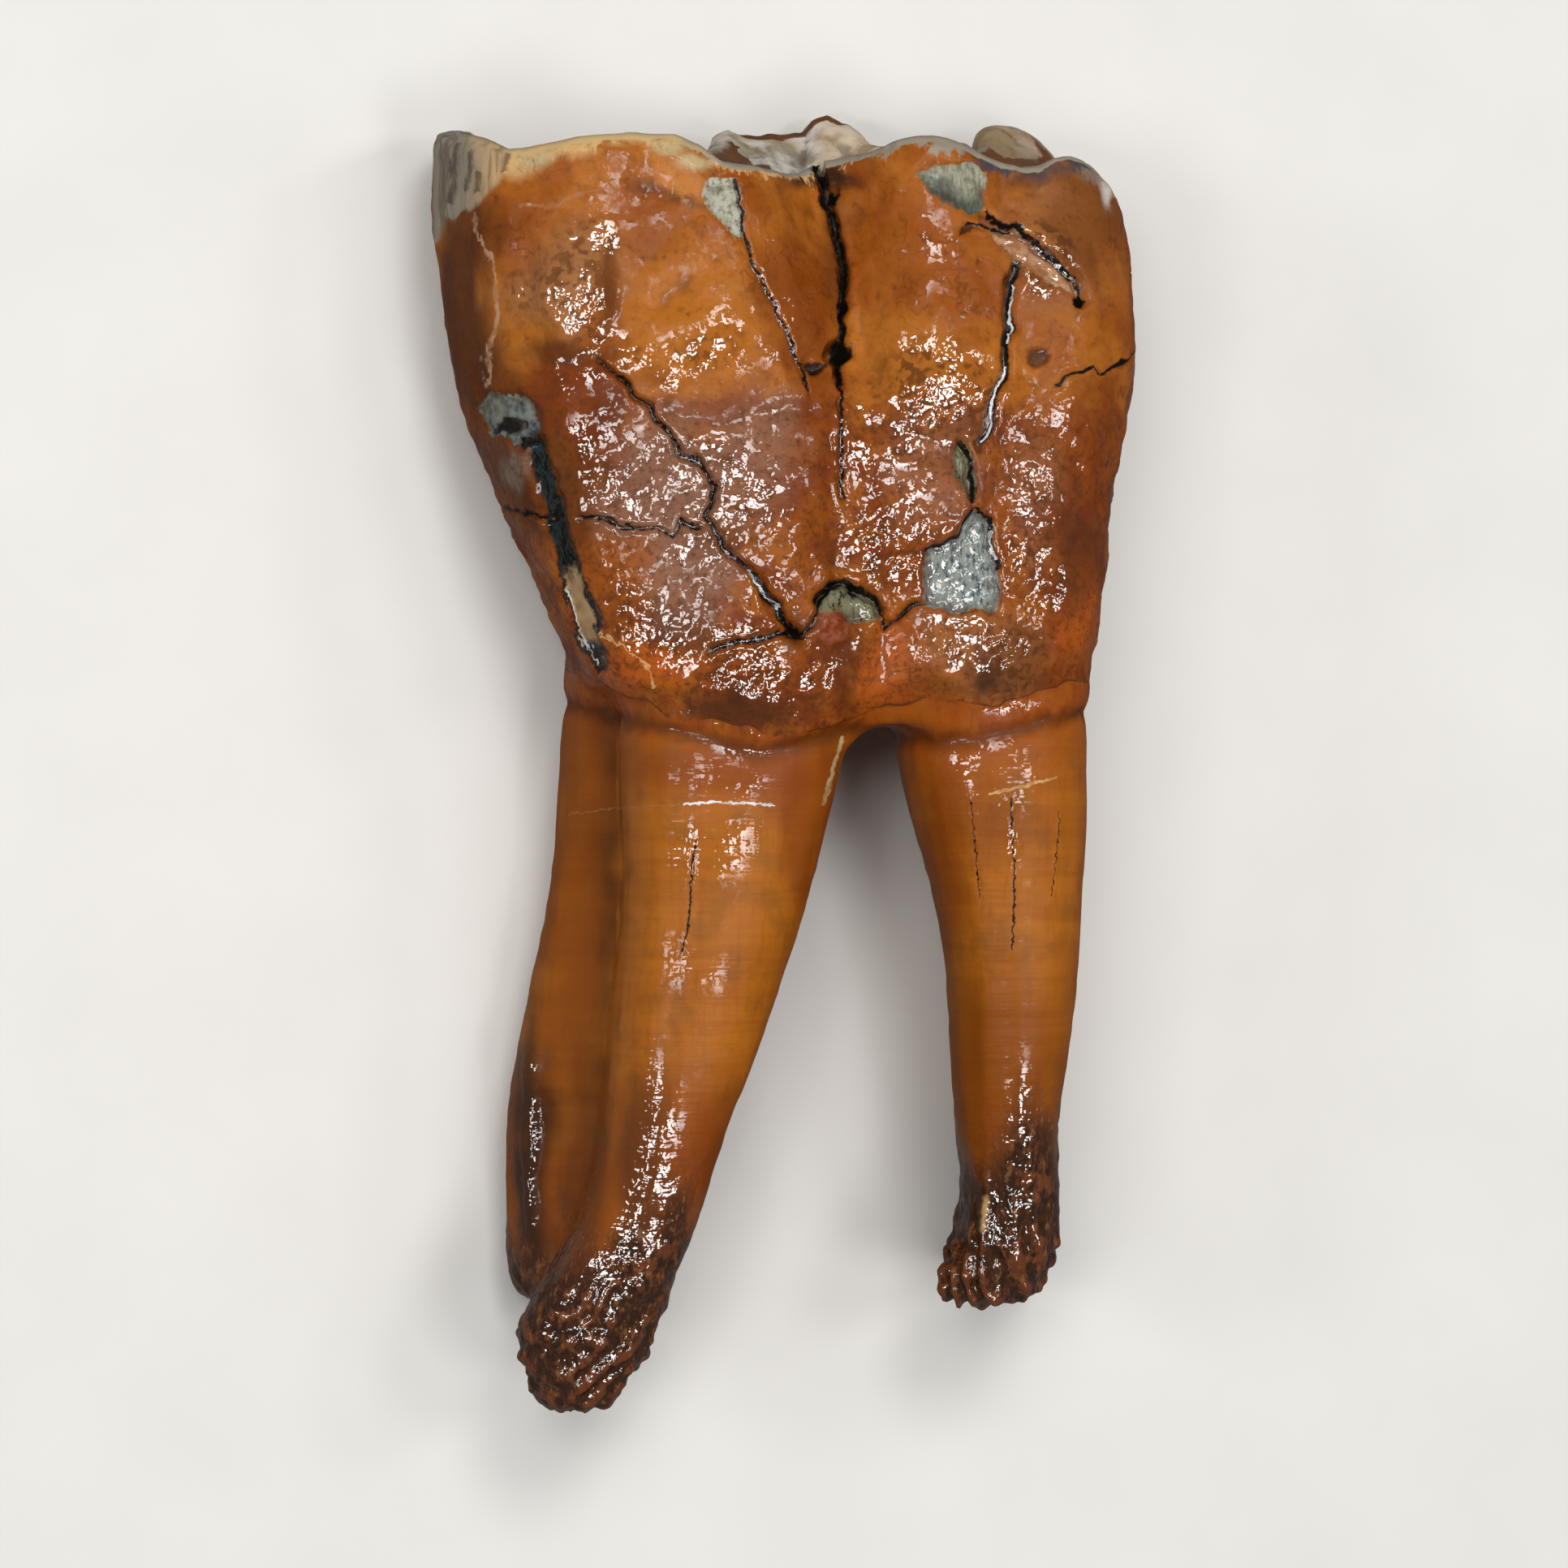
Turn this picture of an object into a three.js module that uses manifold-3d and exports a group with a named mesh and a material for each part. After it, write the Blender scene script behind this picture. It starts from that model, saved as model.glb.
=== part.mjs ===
// A fossil lower right molar of a woolly rhinoceros, Coelodonta antiquitatis, life size.
// It lies on its lingual side. Millimetres, in the tooth's own directions:
//   +X mesial, towards the front of the jaw     +Y occlusal, towards the chewing end
//   +Z buccal, towards the cheek, which is up   z = 0 is the surface that the tooth lies on
// While it is modelled, y = 0 lies just under the fork of the roots. The last lines move the
// finished tooth so that its origin is at the middle of the bottom of its box.
import * as THREE from "three";
import { mergeVertices } from "three/addons/utils/BufferGeometryUtils.js";
import Module from "manifold-3d";

const wasm = await Module();
wasm.setup();

// ---------------------------------------------------------------- driving dimensions
const CROWN_CORNER = 3.4; // superellipse power of the crown's outline: 2 is an ellipse
const CROWN_ASPECT = 1.86; // the crown's length over its width
const CROWN_SEGMENTS = 84; // faces round the crown
const WALL_RINGS = 10; // faces up the crown's wall
const TABLE_RINGS = 9; // faces from the rim to the middle of the chewing surface
const NOMINAL_TOP = 50; // height at which the chewing surface's outline is read
const UNDERSIDE_RINGS = [0.5, 0.9]; // rings under the crown, as shares of its outline
const TABLE_MIDDLE = [3.6, 14]; // x, z that the chewing surface's rings close on
const UNDERSIDE_MIDDLE = [6, 15]; // x, z that the rings under the crown close on
const ROOT_SEGMENTS = 40; // faces round a root
const ROOT_CROWDING = 0.45; // how much closer together they are on its lingual side
const ROOT_RINGS = 13; // faces down a root, above its tips
const ROOT_START = 12; // how high the roots' solids reach up into the crown
const CUT = 0.3; // width of the thin cuts between the named parts
const NECK_TOP = 11.5; // height of the cut between the lobes and the neck
const NECK_BASE = 1.0; // height of the cut between the neck and the roots
const LOBE_CUT = { x: 3.2, lean: -0.05 }; // the cut between the lobes, and its x per mm of height
const FORK_X = 6.2; // between the two roots
const FAR = 200; // half the size of a block that reaches past everything

// Each profile is a list of [height y, value]: the crown's faces, from its base to its rim.
const DISTAL_BUCCAL = profile([[4, -16.6], [11, -18.4], [24, -21.6], [36, -24.0], [50, -25.4]]);
const DISTAL_LINGUAL = profile([
  [4, -16.4], [8, -16.6], [12, -17.5], [17, -20.0], [24, -23.4], [31, -26.6], [43, -29.0],
  [50, -29.5],
]);
const MESIAL_BUCCAL = profile([
  [4, 22.9], [8, 23.9], [12, 25.0], [24, 26.5], [34, 28.6], [38, 29.0], [42, 28.7], [50, 26.8],
]);
const MESIAL_LINGUAL = profile([[4, 22.8], [11, 23.8], [24, 25.2], [34, 26.6], [42, 26.6], [50, 25.4]]);
const BUCCAL = profile([
  [4, 28.0], [8, 28.5], [14, 28.3], [25, 27.9], [34, 27.3], [42, 26.2], [50, 24.6],
]);
const LINGUAL = profile([[4, 2.6], [10, 2.0], [19, 0.6], [28, -0.4], [38, -0.3], [44, 0.7], [50, 1.8]]);

// The cervical line, where the crown's bulging base meets the roots, as a height along x.
const CERVIX = profile([
  [-18, 7.6], [-12, 5.4], [-5, 3.4], [-1, 2.8], [3, 3.6], [6.5, 4.6], [11, 4.4], [17, 4.8],
  [23, 6.6],
]);
const BULGE = { height: 4.6, inset: 1.4 }; // how the base of the crown rounds under to the roots

// Vertical furrows in the crown's wall: where they run, how deep they are and their half width.
const FURROWS = [
  { // between the two buccal lobes
    side: 1, width: 4.4,
    x: profile([[4, 5.6], [20, 3.9], [37, 3.6], [50, 1.2]]),
    depth: profile([[3, 3.6], [8, 2.2], [20, 1.0], [28, 1.5], [33, 3.4], [42, 5.6], [50, 6.6]]),
  },
  { // the hollow behind the talonid's corner
    side: 1, width: 2.6,
    x: profile([[4, -10.0], [50, -13.2]]),
    depth: profile([[4, 0.1], [25, 0.3], [40, 0.9], [50, 0.5]]),
  },
  { // the hollow in front of the trigonid's bulge
    side: 1, width: 2.8,
    x: profile([[4, 16.0], [50, 17.4]]),
    depth: profile([[4, 0.1], [18, 0.4], [36, 0.9], [50, 0.5]]),
  },
  { // the lingual mouth of the talonid basin
    side: -1, width: 5.0,
    x: profile([[4, -4.0], [50, -9.6]]),
    depth: profile([[4, 1.4], [20, 1.2], [34, 2.4], [42, 3.6], [50, 4.4]]),
  },
  { // the lingual mouth of the trigonid basin
    side: -1, width: 3.6,
    x: profile([[4, 11.0], [50, 12.6]]),
    depth: profile([[4, 0.6], [26, 0.8], [38, 1.6], [50, 3.0]]),
  },
];

// The worn chewing surface: the height of its rim along x, and the cusps on its lingual side.
const RIM = profile([
  [-28, 50.6], [-19, 51.1], [-12, 51.0], [-8, 49.9], [-4, 48.7], [0, 48.1], [4, 49.4], [9, 51.0],
  [14, 50.6], [19, 50.9], [21, 50.7], [23, 50.1], [24.6, 48.9], [25.5, 47.3], [26.4, 45.6],
  [28, 43.2],
]);
const LINGUAL_RISE = 1.6; // how far the surface climbs towards the tongue side
const CUSPS = [
  { name: "entoconid", x: -25.2, z: 4.5, reach: 5.0, height: 0.9 },
  { name: "metaconid", x: 5.4, z: 4.0, reach: 3.5, height: 3.6 },
  { name: "metastylid", x: -1.2, z: 5.0, reach: 4.0, height: 3.0 },
  { name: "paraconid", x: 21.0, z: 5.0, reach: 4.6, height: 2.4 },
];
// The two basins are bowls sunk into it from the tongue side, which leaves the two crescents.
const BASINS = [
  { name: "talonid basin", x: -12.2, z: 0, halfX: 8.4, halfZ: 15.5, depth: 12.5 },
  { name: "trigonid basin", x: 13.4, z: 0, halfX: 5.0, halfZ: 14.0, depth: 9.0 },
];
const BASIN_SEGMENTS = 36; // faces round a basin
const BASIN_RINGS = 7; // faces down a basin
const BASIN_CORNER = 2.3; // superellipse power of a basin's outline

// The roots. Each has two columns joined by a web. A column's centre and half sizes follow y.
const DISTAL_ROOT = {
  buccal: {
    tip: -49.8,
    x: profile([
      [12, -5.0], [3, -5.3], [-2, -5.8], [-9, -6.6], [-15, -7.9], [-22, -9.4], [-28, -10.9],
      [-35, -12.7], [-42, -16.3], [-50, -17.8],
    ]),
    z: profile([[12, 18.8], [3, 19.4], [-22, 18.8], [-51, 16.6]]),
    halfX: profile([
      [12, 10.0], [3, 9.0], [-2, 8.2], [-9, 7.3], [-15, 6.5], [-22, 5.8], [-28, 4.8], [-35, 4.6],
      [-41, 5.4], [-44.5, 5.4], [-48, 3.8],
    ]),
    halfZ: profile([[12, 7.0], [3, 7.6], [-9, 7.0], [-22, 6.4], [-34, 5.8], [-42, 5.6], [-51, 4.4]]),
  },
  lingual: {
    tip: -42.1,
    x: profile([
      [12, -11.2], [3, -11.9], [-9, -13.0], [-15, -14.3], [-22, -15.9], [-26, -16.8],
      [-42, -17.2],
    ]),
    z: profile([[12, 8.6], [3, 8.2], [-15, 6.6], [-30, 5.0], [-40, 4.5]]),
    halfX: profile([[12, 5.2], [3, 5.1], [-15, 4.8], [-25, 4.3], [-42, 3.8]]),
    halfZ: profile([[12, 6.4], [3, 5.8], [-15, 5.2], [-30, 5.0], [-40, 4.8]]),
  },
  web: profile([[8, 0.94], [3, 0.9], [-4, 0.76], [-42, 0.7]]), // as a share of the slimmer column
};
const MESIAL_ROOT = {
  buccal: {
    tip: -41.8,
    x: profile([
      [12, 15.6], [3, 15.8], [-2, 16.4], [-9, 17.2], [-15, 17.6], [-22, 17.4], [-28, 17.3],
      [-32, 17.7], [-35, 18.0], [-38.5, 16.8], [-42, 15.4],
    ]),
    z: profile([[12, 18.8], [3, 19.4], [-22, 19.2], [-42, 17.4]]),
    halfX: profile([
      [12, 8.4], [3, 7.5], [-2, 7.0], [-9, 5.8], [-15, 5.1], [-22, 4.6], [-28, 3.9], [-35, 3.7],
      [-38.5, 4.4], [-42, 4.9],
    ]),
    halfZ: profile([[12, 7.0], [3, 7.5], [-9, 6.7], [-22, 5.9], [-34, 5.2], [-42, 4.9]]),
  },
  lingual: {
    tip: -40.6,
    x: profile([[12, 17.6], [3, 18.4], [-9, 19.2], [-15, 20.4], [-28, 20.6], [-33, 21.1], [-41, 20.0]]),
    z: profile([[12, 8.6], [3, 8.2], [-15, 6.4], [-30, 4.9], [-41, 4.4]]),
    halfX: profile([[12, 5.6], [3, 5.2], [-9, 4.9], [-15, 4.5], [-28, 4.1], [-41, 4.0]]),
    halfZ: profile([[12, 6.2], [3, 5.6], [-15, 5.1], [-30, 4.9], [-41, 4.7]]),
  },
  web: profile([[8, 0.94], [3, 0.9], [-4, 0.78], [-41, 0.72]]),
};
const TIP_LENGTH = 4.0; // a column's last stretch, which closes to its blunt tip
const TIP_HEIGHTS = [2.2, 1.0, 0.3, 0]; // rings in that stretch, as heights over the tip
const TIP_SHARE = 0.62; // how much of a column's width is left at its blunt tip
const COLUMN_CORNER = 2.6; // superellipse power of a column's section
const ROOT_EYE = 0.72; // the middle of a root's outlines, from its lingual to its buccal column
const BLEND = 9; // how sharply the columns and the web meet: a higher number is sharper
const REACH_STEP = 0.5; // steps in which a root's outline is looked for from outside

// ---------------------------------------------------------------- small tools
// A smooth curve through [place, value] points, flat past its ends.
function profile(points) {
  const sorted = [...points].sort((a, b) => a[0] - b[0]);
  const slope = (i) => {
    const before = sorted[Math.max(i - 1, 0)];
    const after = sorted[Math.min(i + 1, sorted.length - 1)];
    return (after[1] - before[1]) / (after[0] - before[0]);
  };
  return (place) => {
    const last = sorted.length - 1;
    if (place <= sorted[0][0]) return sorted[0][1];
    if (place >= sorted[last][0]) return sorted[last][1];
    const i = sorted.findIndex((point) => point[0] > place) - 1;
    const [x0, y0] = sorted[i];
    const [x1, y1] = sorted[i + 1];
    const t = (place - x0) / (x1 - x0);
    const step = (t * t) * (3 - 2 * t);
    const ease = (x1 - x0) * (t * (1 - t) * (1 - t) * slope(i) - t * t * (1 - t) * slope(i + 1));
    return y0 + (y1 - y0) * step + ease;
  };
}

const smoothstep = (low, high, value) => THREE.MathUtils.smoothstep(value, low, high);
const bell = (distance) => Math.exp(-distance * distance);
// The size of a list of numbers: power 2 gives the straight distance, a higher one is squarer.
const total = (values) => values.reduce((sum, value) => sum + value, 0);
const norm = (values, power) => total(values.map((value) => Math.abs(value) ** power)) ** (1 / power);

// A closed solid from rings of [x, y, z] points that all hold the same number of points. The
// first and the last ring close on their own middle unless a middle is given.
function loft(rings, firstMiddle, lastMiddle) {
  const count = rings[0].length;
  const middle = (ring) => [0, 1, 2].map((axis) => ring.reduce((sum, p) => sum + p[axis], 0) / count);
  const points = [...rings.flat(), firstMiddle ?? middle(rings[0]), lastMiddle ?? middle(rings.at(-1))];
  const faces = [];
  const first = rings.length * count;
  rings.slice(1).forEach((_, ring) => {
    for (let i = 0; i < count; i++) {
      const a = ring * count + i;
      const b = ring * count + ((i + 1) % count);
      faces.push(a, b, b + count, a, b + count, a + count);
    }
  });
  const top = (rings.length - 1) * count;
  for (let i = 0; i < count; i++) {
    const next = (i + 1) % count;
    faces.push(first, next, i, first + 1, top + i, top + next);
  }
  const geometry = new THREE.BufferGeometry();
  geometry.setAttribute("position", new THREE.Float32BufferAttribute(points.flat(), 3));
  geometry.setIndex(faces);
  return geometry;
}

// A manifold solid from a closed geometry, and a mesh's geometry from a solid.
function solidOf(geometry) {
  const bare = geometry.index ? geometry.toNonIndexed() : geometry.clone();
  bare.deleteAttribute("normal");
  bare.deleteAttribute("uv");
  const merged = mergeVertices(bare, 1e-4);
  const solid = new wasm.Manifold(new wasm.Mesh({
    numProp: 3,
    vertProperties: merged.attributes.position.array,
    triVerts: new Uint32Array(merged.index.array),
  }));
  return solid;
}

function geometryOf(solid) {
  const mesh = solid.getMesh();
  const geometry = new THREE.BufferGeometry();
  const positions = new Float32Array(mesh.vertProperties);
  geometry.setAttribute("position", new THREE.BufferAttribute(positions, 3));
  geometry.setIndex(new THREE.BufferAttribute(new Uint32Array(mesh.triVerts), 1));
  geometry.computeVertexNormals();
  return geometry;
}

// A block between two corners, as a solid.
function block(low, high) {
  const size = high.map((value, axis) => value - low[axis]);
  const geometry = new THREE.BoxGeometry(...size);
  geometry.translate(...low.map((value, axis) => value + size[axis] / 2));
  return solidOf(geometry);
}

// ---------------------------------------------------------------- the crown
// The crown's outline at an angle round it and a height: a superellipse between its four faces,
// with the furrows pressed into its two long sides and its base rounded under.
function crownWall(angle, y) {
  const ray = [Math.cos(angle), CROWN_ASPECT * Math.sin(angle)];
  const length = norm(ray, CROWN_CORNER);
  const along = ray[0] / length;
  const across = ray[1] / length;
  const side = (across + 1) / 2;
  const distal = THREE.MathUtils.lerp(DISTAL_LINGUAL(y), DISTAL_BUCCAL(y), side);
  const mesial = THREE.MathUtils.lerp(MESIAL_LINGUAL(y), MESIAL_BUCCAL(y), side);
  let x = THREE.MathUtils.lerp(distal, mesial, (along + 1) / 2);
  let z = THREE.MathUtils.lerp(LINGUAL(y), BUCCAL(y), side);
  for (const furrow of FURROWS) {
    const facing = smoothstep(0.1, 0.9, across * furrow.side);
    z -= furrow.side * facing * furrow.depth(y) * bell((x - furrow.x(y)) / furrow.width);
  }
  const under = THREE.MathUtils.clamp(1 - (y - CERVIX(x)) / BULGE.height, 0, 1);
  const inset = BULGE.inset * (1 - Math.sqrt(1 - under * under));
  x -= inset * along;
  z -= inset * across;
  return [x, z];
}

// The height of the chewing surface over a point, before the basins are sunk.
function tableHeight(x, z) {
  const cusps = CUSPS.map((cusp) => {
    return cusp.height * bell(Math.hypot(x - cusp.x, z - cusp.z) / cusp.reach);
  });
  return RIM(x) + LINGUAL_RISE * (1 - smoothstep(4, 22, z)) + total(cusps);
}

// A point of a superellipse outline round a middle.
function outlinePoint(angle, power, middle, halves) {
  const ray = [Math.cos(angle), Math.sin(angle)];
  const length = norm(ray, power);
  return [middle[0] + (halves[0] * ray[0]) / length, middle[1] + (halves[1] * ray[1]) / length];
}

// The bowl that is taken away for a basin, open upwards and towards the tongue.
function basin({ x: middleX, z: middleZ, halfX, halfZ, depth }) {
  const top = tableHeight(middleX, middleZ);
  const rings = Array.from({ length: BASIN_RINGS + 1 }, (_, ring) => {
    const rise = (Math.PI / 2) * ((ring + 0.6) / (BASIN_RINGS + 0.6));
    return { y: top - depth * Math.cos(rise), size: Math.sin(rise) };
  });
  rings.push({ y: top + depth, size: 1.3 });
  return solidOf(loft(rings.map(({ y, size }) => Array.from({ length: BASIN_SEGMENTS }, (_, i) => {
    const angle = (-2 * Math.PI * i) / BASIN_SEGMENTS;
    const [x, z] = outlinePoint(angle, BASIN_CORNER, [middleX, middleZ], [halfX * size, halfZ * size]);
    return [x, y, z];
  }))));
}

function crown() {
  const angles = Array.from({ length: CROWN_SEGMENTS }, (_, i) => (-2 * Math.PI * i) / CROWN_SEGMENTS);
  const rim = angles.map((angle) => crownWall(angle, NOMINAL_TOP));
  const toMiddle = ([x, z], middle, share) => [
    THREE.MathUtils.lerp(middle[0], x, share),
    THREE.MathUtils.lerp(middle[1], z, share),
  ];
  const wall = Array.from({ length: WALL_RINGS + 1 }, (_, ring) => angles.map((angle, i) => {
    const base = CERVIX(rim[i][0]);
    const y = THREE.MathUtils.lerp(base, tableHeight(...rim[i]), ring / WALL_RINGS);
    const [x, z] = crownWall(angle, y);
    return [x, y, z];
  }));
  const underside = UNDERSIDE_RINGS.map((share) => wall[0].map(([wallX, wallY, wallZ]) => {
    const [x, z] = toMiddle([wallX, wallZ], UNDERSIDE_MIDDLE, share);
    return [x, THREE.MathUtils.lerp(CERVIX(x) + 0.6, wallY, share * share), z];
  }));
  const table = [];
  for (let ring = 1; ring < TABLE_RINGS; ring++) {
    table.push(wall[WALL_RINGS].map(([wallX, , wallZ]) => {
      const [x, z] = toMiddle([wallX, wallZ], TABLE_MIDDLE, 1 - ring / TABLE_RINGS);
      return [x, tableHeight(x, z), z];
    }));
  }
  const closing = ([x, z], y) => [x, y, z];
  return solidOf(loft(
    [...underside, ...wall, ...table],
    closing(UNDERSIDE_MIDDLE, CERVIX(UNDERSIDE_MIDDLE[0]) + 0.6),
    closing(TABLE_MIDDLE, tableHeight(...TABLE_MIDDLE)),
  ));
}

// ---------------------------------------------------------------- the roots
// How much of its width a column still has at a height: it draws in to a blunt tip.
function columnSize(part, y) {
  const toTip = Math.min((y - part.tip) / TIP_LENGTH, 1);
  return THREE.MathUtils.lerp(TIP_SHARE, 1, Math.sqrt(toTip * (2 - toTip)));
}

// How far outside a column a point is: 1 on its skin, more than 1 outside.
function columnGauge(part, x, y, z) {
  if (y < part.tip) return FAR;
  const across = (x - part.x(y)) / part.halfX(y);
  return norm([across, (z - part.z(y)) / part.halfZ(y)], COLUMN_CORNER) / columnSize(part, y);
}

// The same for the web that joins the two columns and is thinner than they are.
function webGauge({ buccal, lingual, web }, x, y, z) {
  if (y < lingual.tip) return FAR;
  const share = THREE.MathUtils.clamp((z - lingual.z(y)) / (buccal.z(y) - lingual.z(y)), 0, 1);
  const middle = THREE.MathUtils.lerp(lingual.x(y), buccal.x(y), share);
  const beyond = Math.max(lingual.z(y) - z, z - buccal.z(y), 0);
  const half = Math.min(lingual.halfX(y), buccal.halfX(y)) * web(y) * columnSize(lingual, y);
  return Math.hypot(x - middle, beyond) / half;
}

// The root's outline at an angle round it and a height: the farthest point, from a place near
// the buccal column's middle, that is inside the columns and the web blended into one another.
function rootWall(root, angle, y) {
  const { buccal, lingual } = root;
  const x = THREE.MathUtils.lerp(lingual.x(y), buccal.x(y), ROOT_EYE);
  const z = THREE.MathUtils.lerp(lingual.z(y), buccal.z(y), ROOT_EYE);
  const at = (reach) => [x - reach * Math.sin(angle), y, z + reach * Math.cos(angle)];
  const gauge = (reach) => {
    const point = at(reach);
    const columns = [columnGauge(buccal, ...point), columnGauge(lingual, ...point)];
    return 1 / norm([...columns, webGauge(root, ...point)].map((value) => 1 / value), BLEND);
  };
  let outside = 30;
  while (gauge(outside - REACH_STEP) > 1 && outside > 2 * REACH_STEP) outside -= REACH_STEP;
  let inside = outside - REACH_STEP;
  for (let halving = 0; halving < 12; halving++) {
    const middle = (inside + outside) / 2;
    if (gauge(middle) > 1) outside = middle;
    else inside = middle;
  }
  return at(inside);
}

function rootOf(root) {
  const { buccal, lingual } = root;
  const heights = Array.from({ length: ROOT_RINGS + 1 }, (_, ring) => {
    return THREE.MathUtils.lerp(ROOT_START, lingual.tip + TIP_LENGTH, ring / ROOT_RINGS);
  });
  heights.push(...TIP_HEIGHTS.map((over) => lingual.tip + over));
  if (lingual.tip - buccal.tip > TIP_LENGTH) heights.push(buccal.tip + TIP_LENGTH);
  heights.push(...TIP_HEIGHTS.map((over) => buccal.tip + over).filter((y) => y < lingual.tip));
  const step = heights.findIndex((y) => y < lingual.tip);
  heights.splice(step, 0, lingual.tip - 0.2);
  return solidOf(loft(heights.map((y) => Array.from({ length: ROOT_SEGMENTS }, (_, i) => {
    const angle = (2 * Math.PI * i) / ROOT_SEGMENTS;
    return rootWall(root, angle + ROOT_CROWDING * Math.sin(angle), y);
  }))));
}

// ---------------------------------------------------------------- the parts
const IVORY = { roughness: 0.35, metalness: 0 };
const FINISH = {
  talonid: new THREE.MeshStandardMaterial({ color: 0xb5682a, ...IVORY }),
  trigonid: new THREE.MeshStandardMaterial({ color: 0xb0602b, ...IVORY }),
  neck: new THREE.MeshStandardMaterial({ color: 0xa9561f, ...IVORY }),
  distal_root: new THREE.MeshStandardMaterial({ color: 0x9c5a22, ...IVORY }),
  mesial_root: new THREE.MeshStandardMaterial({ color: 0x96551f, ...IVORY }),
};

// A block on one side of the leaning cut between the lobes.
function lobeSide(way) {
  const geometry = new THREE.BoxGeometry(FAR, FAR, FAR);
  geometry.translate(way * (FAR / 2 + CUT / 2), 0, 0);
  geometry.applyMatrix4(new THREE.Matrix4().makeRotationZ(Math.atan(-LOBE_CUT.lean)));
  geometry.translate(LOBE_CUT.x - (LOBE_CUT.lean * NOMINAL_TOP) / 2, 0, 0);
  return solidOf(geometry);
}

const half = CUT / 2;
const tooth = BASINS.reduce((solid, hollow) => solid.subtract(basin(hollow)), crown())
  .add(rootOf(DISTAL_ROOT))
  .add(rootOf(MESIAL_ROOT))
  .intersect(block([-FAR, -FAR, 0], [FAR, FAR, FAR]));
const lobes = tooth.intersect(block([-FAR, NECK_TOP + half, -1], [FAR, FAR, FAR]));
const roots = tooth.intersect(block([-FAR, -FAR, -1], [FAR, NECK_BASE - half, FAR]));
const SOLIDS = {
  talonid: lobes.intersect(lobeSide(-1)),
  trigonid: lobes.intersect(lobeSide(1)),
  neck: tooth.intersect(block([-FAR, NECK_BASE + half, -1], [FAR, NECK_TOP - half, FAR])),
  distal_root: roots.intersect(block([-FAR, -FAR, -1], [FORK_X, FAR, FAR])),
  mesial_root: roots.intersect(block([FORK_X, -FAR, -1], [FAR, FAR, FAR])),
};

const model = new THREE.Group();
for (const [name, solid] of Object.entries(SOLIDS)) {
  const mesh = new THREE.Mesh(geometryOf(solid), FINISH[name]);
  mesh.name = name;
  model.add(mesh);
}
const box = tooth.boundingBox();
model.position.set(-(box.min[0] + box.max[0]) / 2, -(box.min[1] + box.max[1]) / 2, 0);

export default model;
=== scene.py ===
# %% [markdown]
# # A woolly rhinoceros molar
# The lesson dresses a imported model of a fossil lower molar. The model's five solids say how big
# the tooth is and how it lies; the lesson gives it one worn, cracked and lacquered surface.
# The frame is loaded first, because dressing must not change the tooth's size.

# %% Load the frame
import math

import bpy
import numpy as np
from mathutils import Matrix, Vector
from mathutils.kdtree import KDTree


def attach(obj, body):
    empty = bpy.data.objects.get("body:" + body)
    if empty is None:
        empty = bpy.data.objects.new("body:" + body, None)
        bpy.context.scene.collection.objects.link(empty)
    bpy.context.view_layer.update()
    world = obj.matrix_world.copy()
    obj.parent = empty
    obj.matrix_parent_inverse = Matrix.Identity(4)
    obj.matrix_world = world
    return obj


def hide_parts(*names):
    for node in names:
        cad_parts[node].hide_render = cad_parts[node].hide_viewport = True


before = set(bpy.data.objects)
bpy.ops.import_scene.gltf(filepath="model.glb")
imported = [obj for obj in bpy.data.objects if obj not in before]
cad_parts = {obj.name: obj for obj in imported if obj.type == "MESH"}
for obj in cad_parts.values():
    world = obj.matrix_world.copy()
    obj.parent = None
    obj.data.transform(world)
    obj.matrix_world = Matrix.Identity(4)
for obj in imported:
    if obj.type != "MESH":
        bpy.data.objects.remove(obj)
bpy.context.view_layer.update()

# %% [markdown]
# ## Camera and work sheet
# The tooth lies on its tongue side and is looked at from above, a little from the back-tooth side.
# Marks such as cracks are laid out one by one, so they need a sheet to be laid out on. The sheet is
# the camera's own square frame, 1932 steps a side, and `on_sheet` says where any point of the
# tooth falls on it. Lengths here are in millimetres until they are handed to Blender.

# %% Camera
MM = 0.001
SHEET = 1932
STEPS_PER_MM = 15.25
AIM = np.array((-0.0843, -2.7069, 14.0))
STAND_OFF = 500.0
YAW = math.radians(12)
SENSOR = 36.0
TOWARDS = np.array((-math.sin(YAW), 0.0, math.cos(YAW)))
RIGHT = np.array((math.cos(YAW), 0.0, math.sin(YAW)))
UPWARD = np.array((0.0, 1.0, 0.0))

lens = bpy.data.cameras.new("bench_camera")
lens.sensor_width = SENSOR
lens.lens = SENSOR * STAND_OFF * STEPS_PER_MM / SHEET
lens.clip_start = 10 * MM
camera = bpy.data.objects.new("bench_camera", lens)
bpy.context.scene.collection.objects.link(camera)
turn = Matrix([[RIGHT[i], UPWARD[i], TOWARDS[i]] for i in range(3)]).to_4x4()
camera.matrix_world = Matrix.Translation(Vector((AIM + TOWARDS * STAND_OFF) * MM)) @ turn
bpy.context.scene.camera = camera
print("lens", round(lens.lens, 2), "mm")

# %% Work sheet
def on_sheet(points):
    """Where points in millimetres fall on the sheet: steps across, steps down, and nearness."""
    from_aim = points - AIM
    near = from_aim @ TOWARDS
    scale = STEPS_PER_MM * STAND_OFF / (STAND_OFF - near)
    return SHEET / 2 + scale * (from_aim @ RIGHT), SHEET / 2 - scale * (from_aim @ UPWARD), near


print("a step of the sheet is", round(1 / STEPS_PER_MM, 3), "mm at the aim")

# %% [markdown]
# ## One skin over five solids
# A tooth is one piece, but the model comes as five solids parted by thin cuts. Their copies are
# joined, swelled until the cuts close, and remade as one closed net. Smoothing takes the facets
# away while the net is still coarse, and a finer net over that is ready for carving.

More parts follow.
